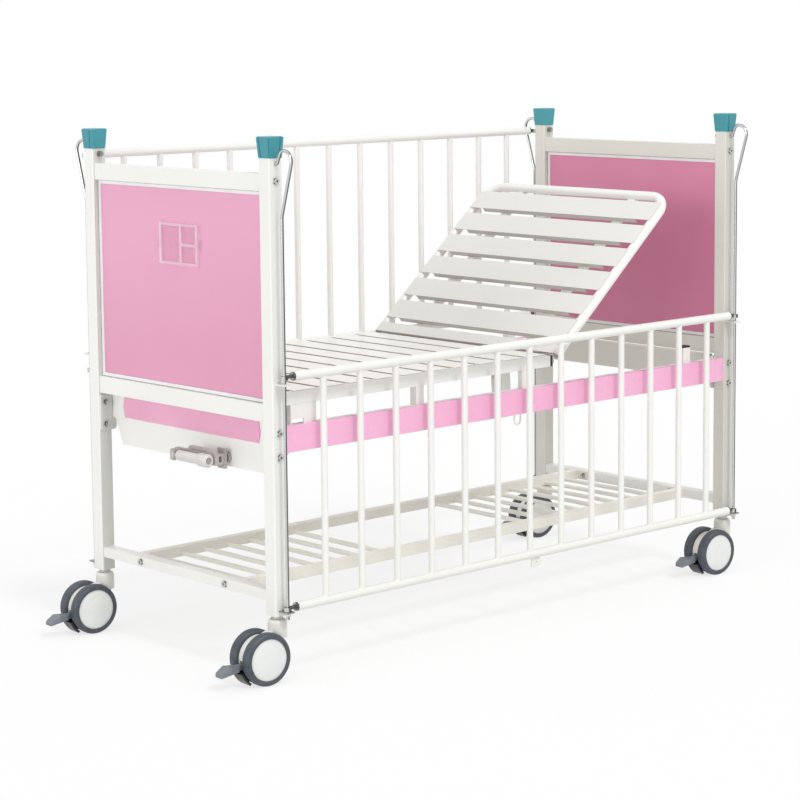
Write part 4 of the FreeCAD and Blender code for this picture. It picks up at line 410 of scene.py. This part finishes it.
ownFinish = {
    "foot_end_strip": pinkStrip("footStrip", footStrip),
    "backrest_slats": powderCoat("backShadedPowder", backShadePaint),
    "rod_brackets": tabAndNut("tabAndNut", tab),
    "crank_arm": mouldedPlastic("greyArm", arm),
    "rack_shelf": powderCoat("rackPowder", rackPaint),
    "foot_far_post": farShadedPowder,
    "corner_brackets": farShadedPowder,
    "head_near_post": headShadedPowder,
    "head_far_post": headShadedPowder,
    "head_top_rail": headShadedPowder,
    "head_bottom_rail": headShadedPowder,
    "head_end_beam": headShadedPowder,
}
slotOf = {item["node"]: item["material_slot"] for item in frame["record"]["subparts"]}
print("finishes made for", len(finishes), "slots and", len(ownFinish), "single nodes")


# edges of the CAD nodes, as rounded as a fold or a moulding leaves them, in metres and degrees; round and
# drilled nodes are left as they are
edges = {"width": 0.0007, "segments": 2, "least": 40, "weld": 0.00001,
         "own": {"bumper_caps": 0.0010, "tube_plugs": 0.0008, "frame_bolts": 0.0004, "card_holder": 0.0005},
         "left": ("near_rail", "far_rail", "guide_rods", "drainage_hooks", "foot_near_post", "foot_far_post",
                  "head_near_post", "head_far_post", "rack_crossbars", "foot_end_beam", "corner_brackets")}


def dressNode(name, thing):
    thing.data.materials.clear()
    thing.data.materials.append(ownFinish.get(name, finishes[slotOf[name]]))
    if name in edges["left"]:
        return
    weld = thing.modifiers.new("weld", "WELD")
    weld.merge_threshold = edges["weld"]
    bevel = thing.modifiers.new("edges", "BEVEL")
    bevel.width = edges["own"].get(name, edges["width"])
    bevel.segments = edges["segments"]
    bevel.limit_method = "ANGLE"
    bevel.angle_limit = math.radians(edges["least"])
    bevel.use_clamp_overlap = True
    weighted = thing.modifiers.new("normals", "WEIGHTED_NORMAL")
    weighted.keep_sharp = True


for name, thing in nodes.items():
    dressNode(name, thing)
print("CAD nodes dressed")


# a pale studio: an even sky, a soft key from the near side and a low fill from the foot end
room = {"size": 60.0, "sky": 0.68, "floorGlow": 0.72, "floorColour": (0.80, 0.80, 0.80, 1.0)}
suns = {"key": {"strength": 1.10, "spread": 14.0, "ahead": (0.06, 0.62, -0.80)},
        "fill": {"strength": 0.80, "spread": 30.0, "ahead": (1.0, 0.12, -0.14)}}
white = (1.0, 1.0, 1.0, 1.0)


# the rays that see the bare background: from the camera, a mirror or glass
def seenRay(f):
    camera, glossy, clearRay = (f.node("ShaderNodeLightPath", out=f"Is {kind} Ray")
                                for kind in ("Camera", "Glossy", "Transmission"))
    return camera.over(glossy).over(clearRay)


def makeFloor():
    f = newFinish("paleFloor")
    lit = f.node("ShaderNodeBsdfDiffuse", None, {"Color": room["floorColour"]})
    bright = f.node("ShaderNodeBsdfDiffuse", None, {"Color": white})
    glow = f.node("ShaderNodeEmission", None, {"Color": white, "Strength": 1.0})
    shown = f.node("ShaderNodeMixShader", None, {"Fac": room["floorGlow"], 1: bright, 2: glow})
    f.output(f.node("ShaderNodeMixShader", None, {"Fac": seenRay(f), 1: lit, 2: shown}))
    mesh = bpy.data.meshes.new("floor")
    half = room["size"] / 2
    corners = [(-half, -half, 0), (half, -half, 0), (half, half, 0), (-half, half, 0)]
    mesh.from_pydata(corners, [], [(0, 1, 2, 3)])
    mesh.materials.append(f.holder)
    floor = bpy.data.objects.new("floor", mesh)
    bpy.context.scene.collection.objects.link(floor)


def makeLight():
    world = bpy.data.worlds.new("studio")
    bpy.context.scene.world = world
    f = Finish(world)
    strength = seenRay(f).band(0.0, 1.0, room["sky"], 1.0)
    sky = f.node("ShaderNodeBackground", None, {"Color": white, "Strength": strength})
    f.output(sky, "ShaderNodeOutputWorld")
    for name, values in suns.items():
        sun = bpy.data.lights.new(name, "SUN")
        sun.energy = values["strength"]
        sun.angle = math.radians(values["spread"])
        lamp = bpy.data.objects.new(name, sun)
        lamp.rotation_euler = Vector(values["ahead"]).to_track_quat("-Z", "Y").to_euler()
        bpy.context.scene.collection.objects.link(lamp)


# the photo's camera: its place in metres, its turn in degrees, and its focal length and shift in pixels
lens = {"place": (-4.22404, -4.57791, 1.52499), "azimuth": 47.428, "down": 7.086, "roll": -0.534,
        "focal": 2412.66, "shift": -80.0, "frame": 800.0, "sensor": 36.0, "reach": 200.0}


def makeCamera():
    azimuth, down, roll = (math.radians(lens[key]) for key in ("azimuth", "down", "roll"))
    ahead = Vector((math.cos(azimuth) * math.cos(down), math.sin(azimuth) * math.cos(down), -math.sin(down)))
    right = Vector((math.sin(azimuth), -math.cos(azimuth), 0))
    up = right.cross(ahead)
    tilted = right * math.cos(roll) + up * math.sin(roll)
    upper = up * math.cos(roll) - right * math.sin(roll)
    data = bpy.data.cameras.new("camera")
    data.sensor_width = lens["sensor"]
    data.lens = lens["focal"] * lens["sensor"] / lens["frame"]
    data.shift_y = lens["shift"] / lens["frame"]
    data.clip_end = lens["reach"]
    camera = bpy.data.objects.new("camera", data)
    turn = Matrix((tilted, upper, -ahead)).transposed().to_4x4()
    camera.matrix_world = Matrix.Translation(lens["place"]) @ turn
    bpy.context.scene.collection.objects.link(camera)
    bpy.context.scene.camera = camera


makeFloor()
makeLight()
makeCamera()
bpy.context.scene.view_settings.view_transform = "Standard"
print("room ready")
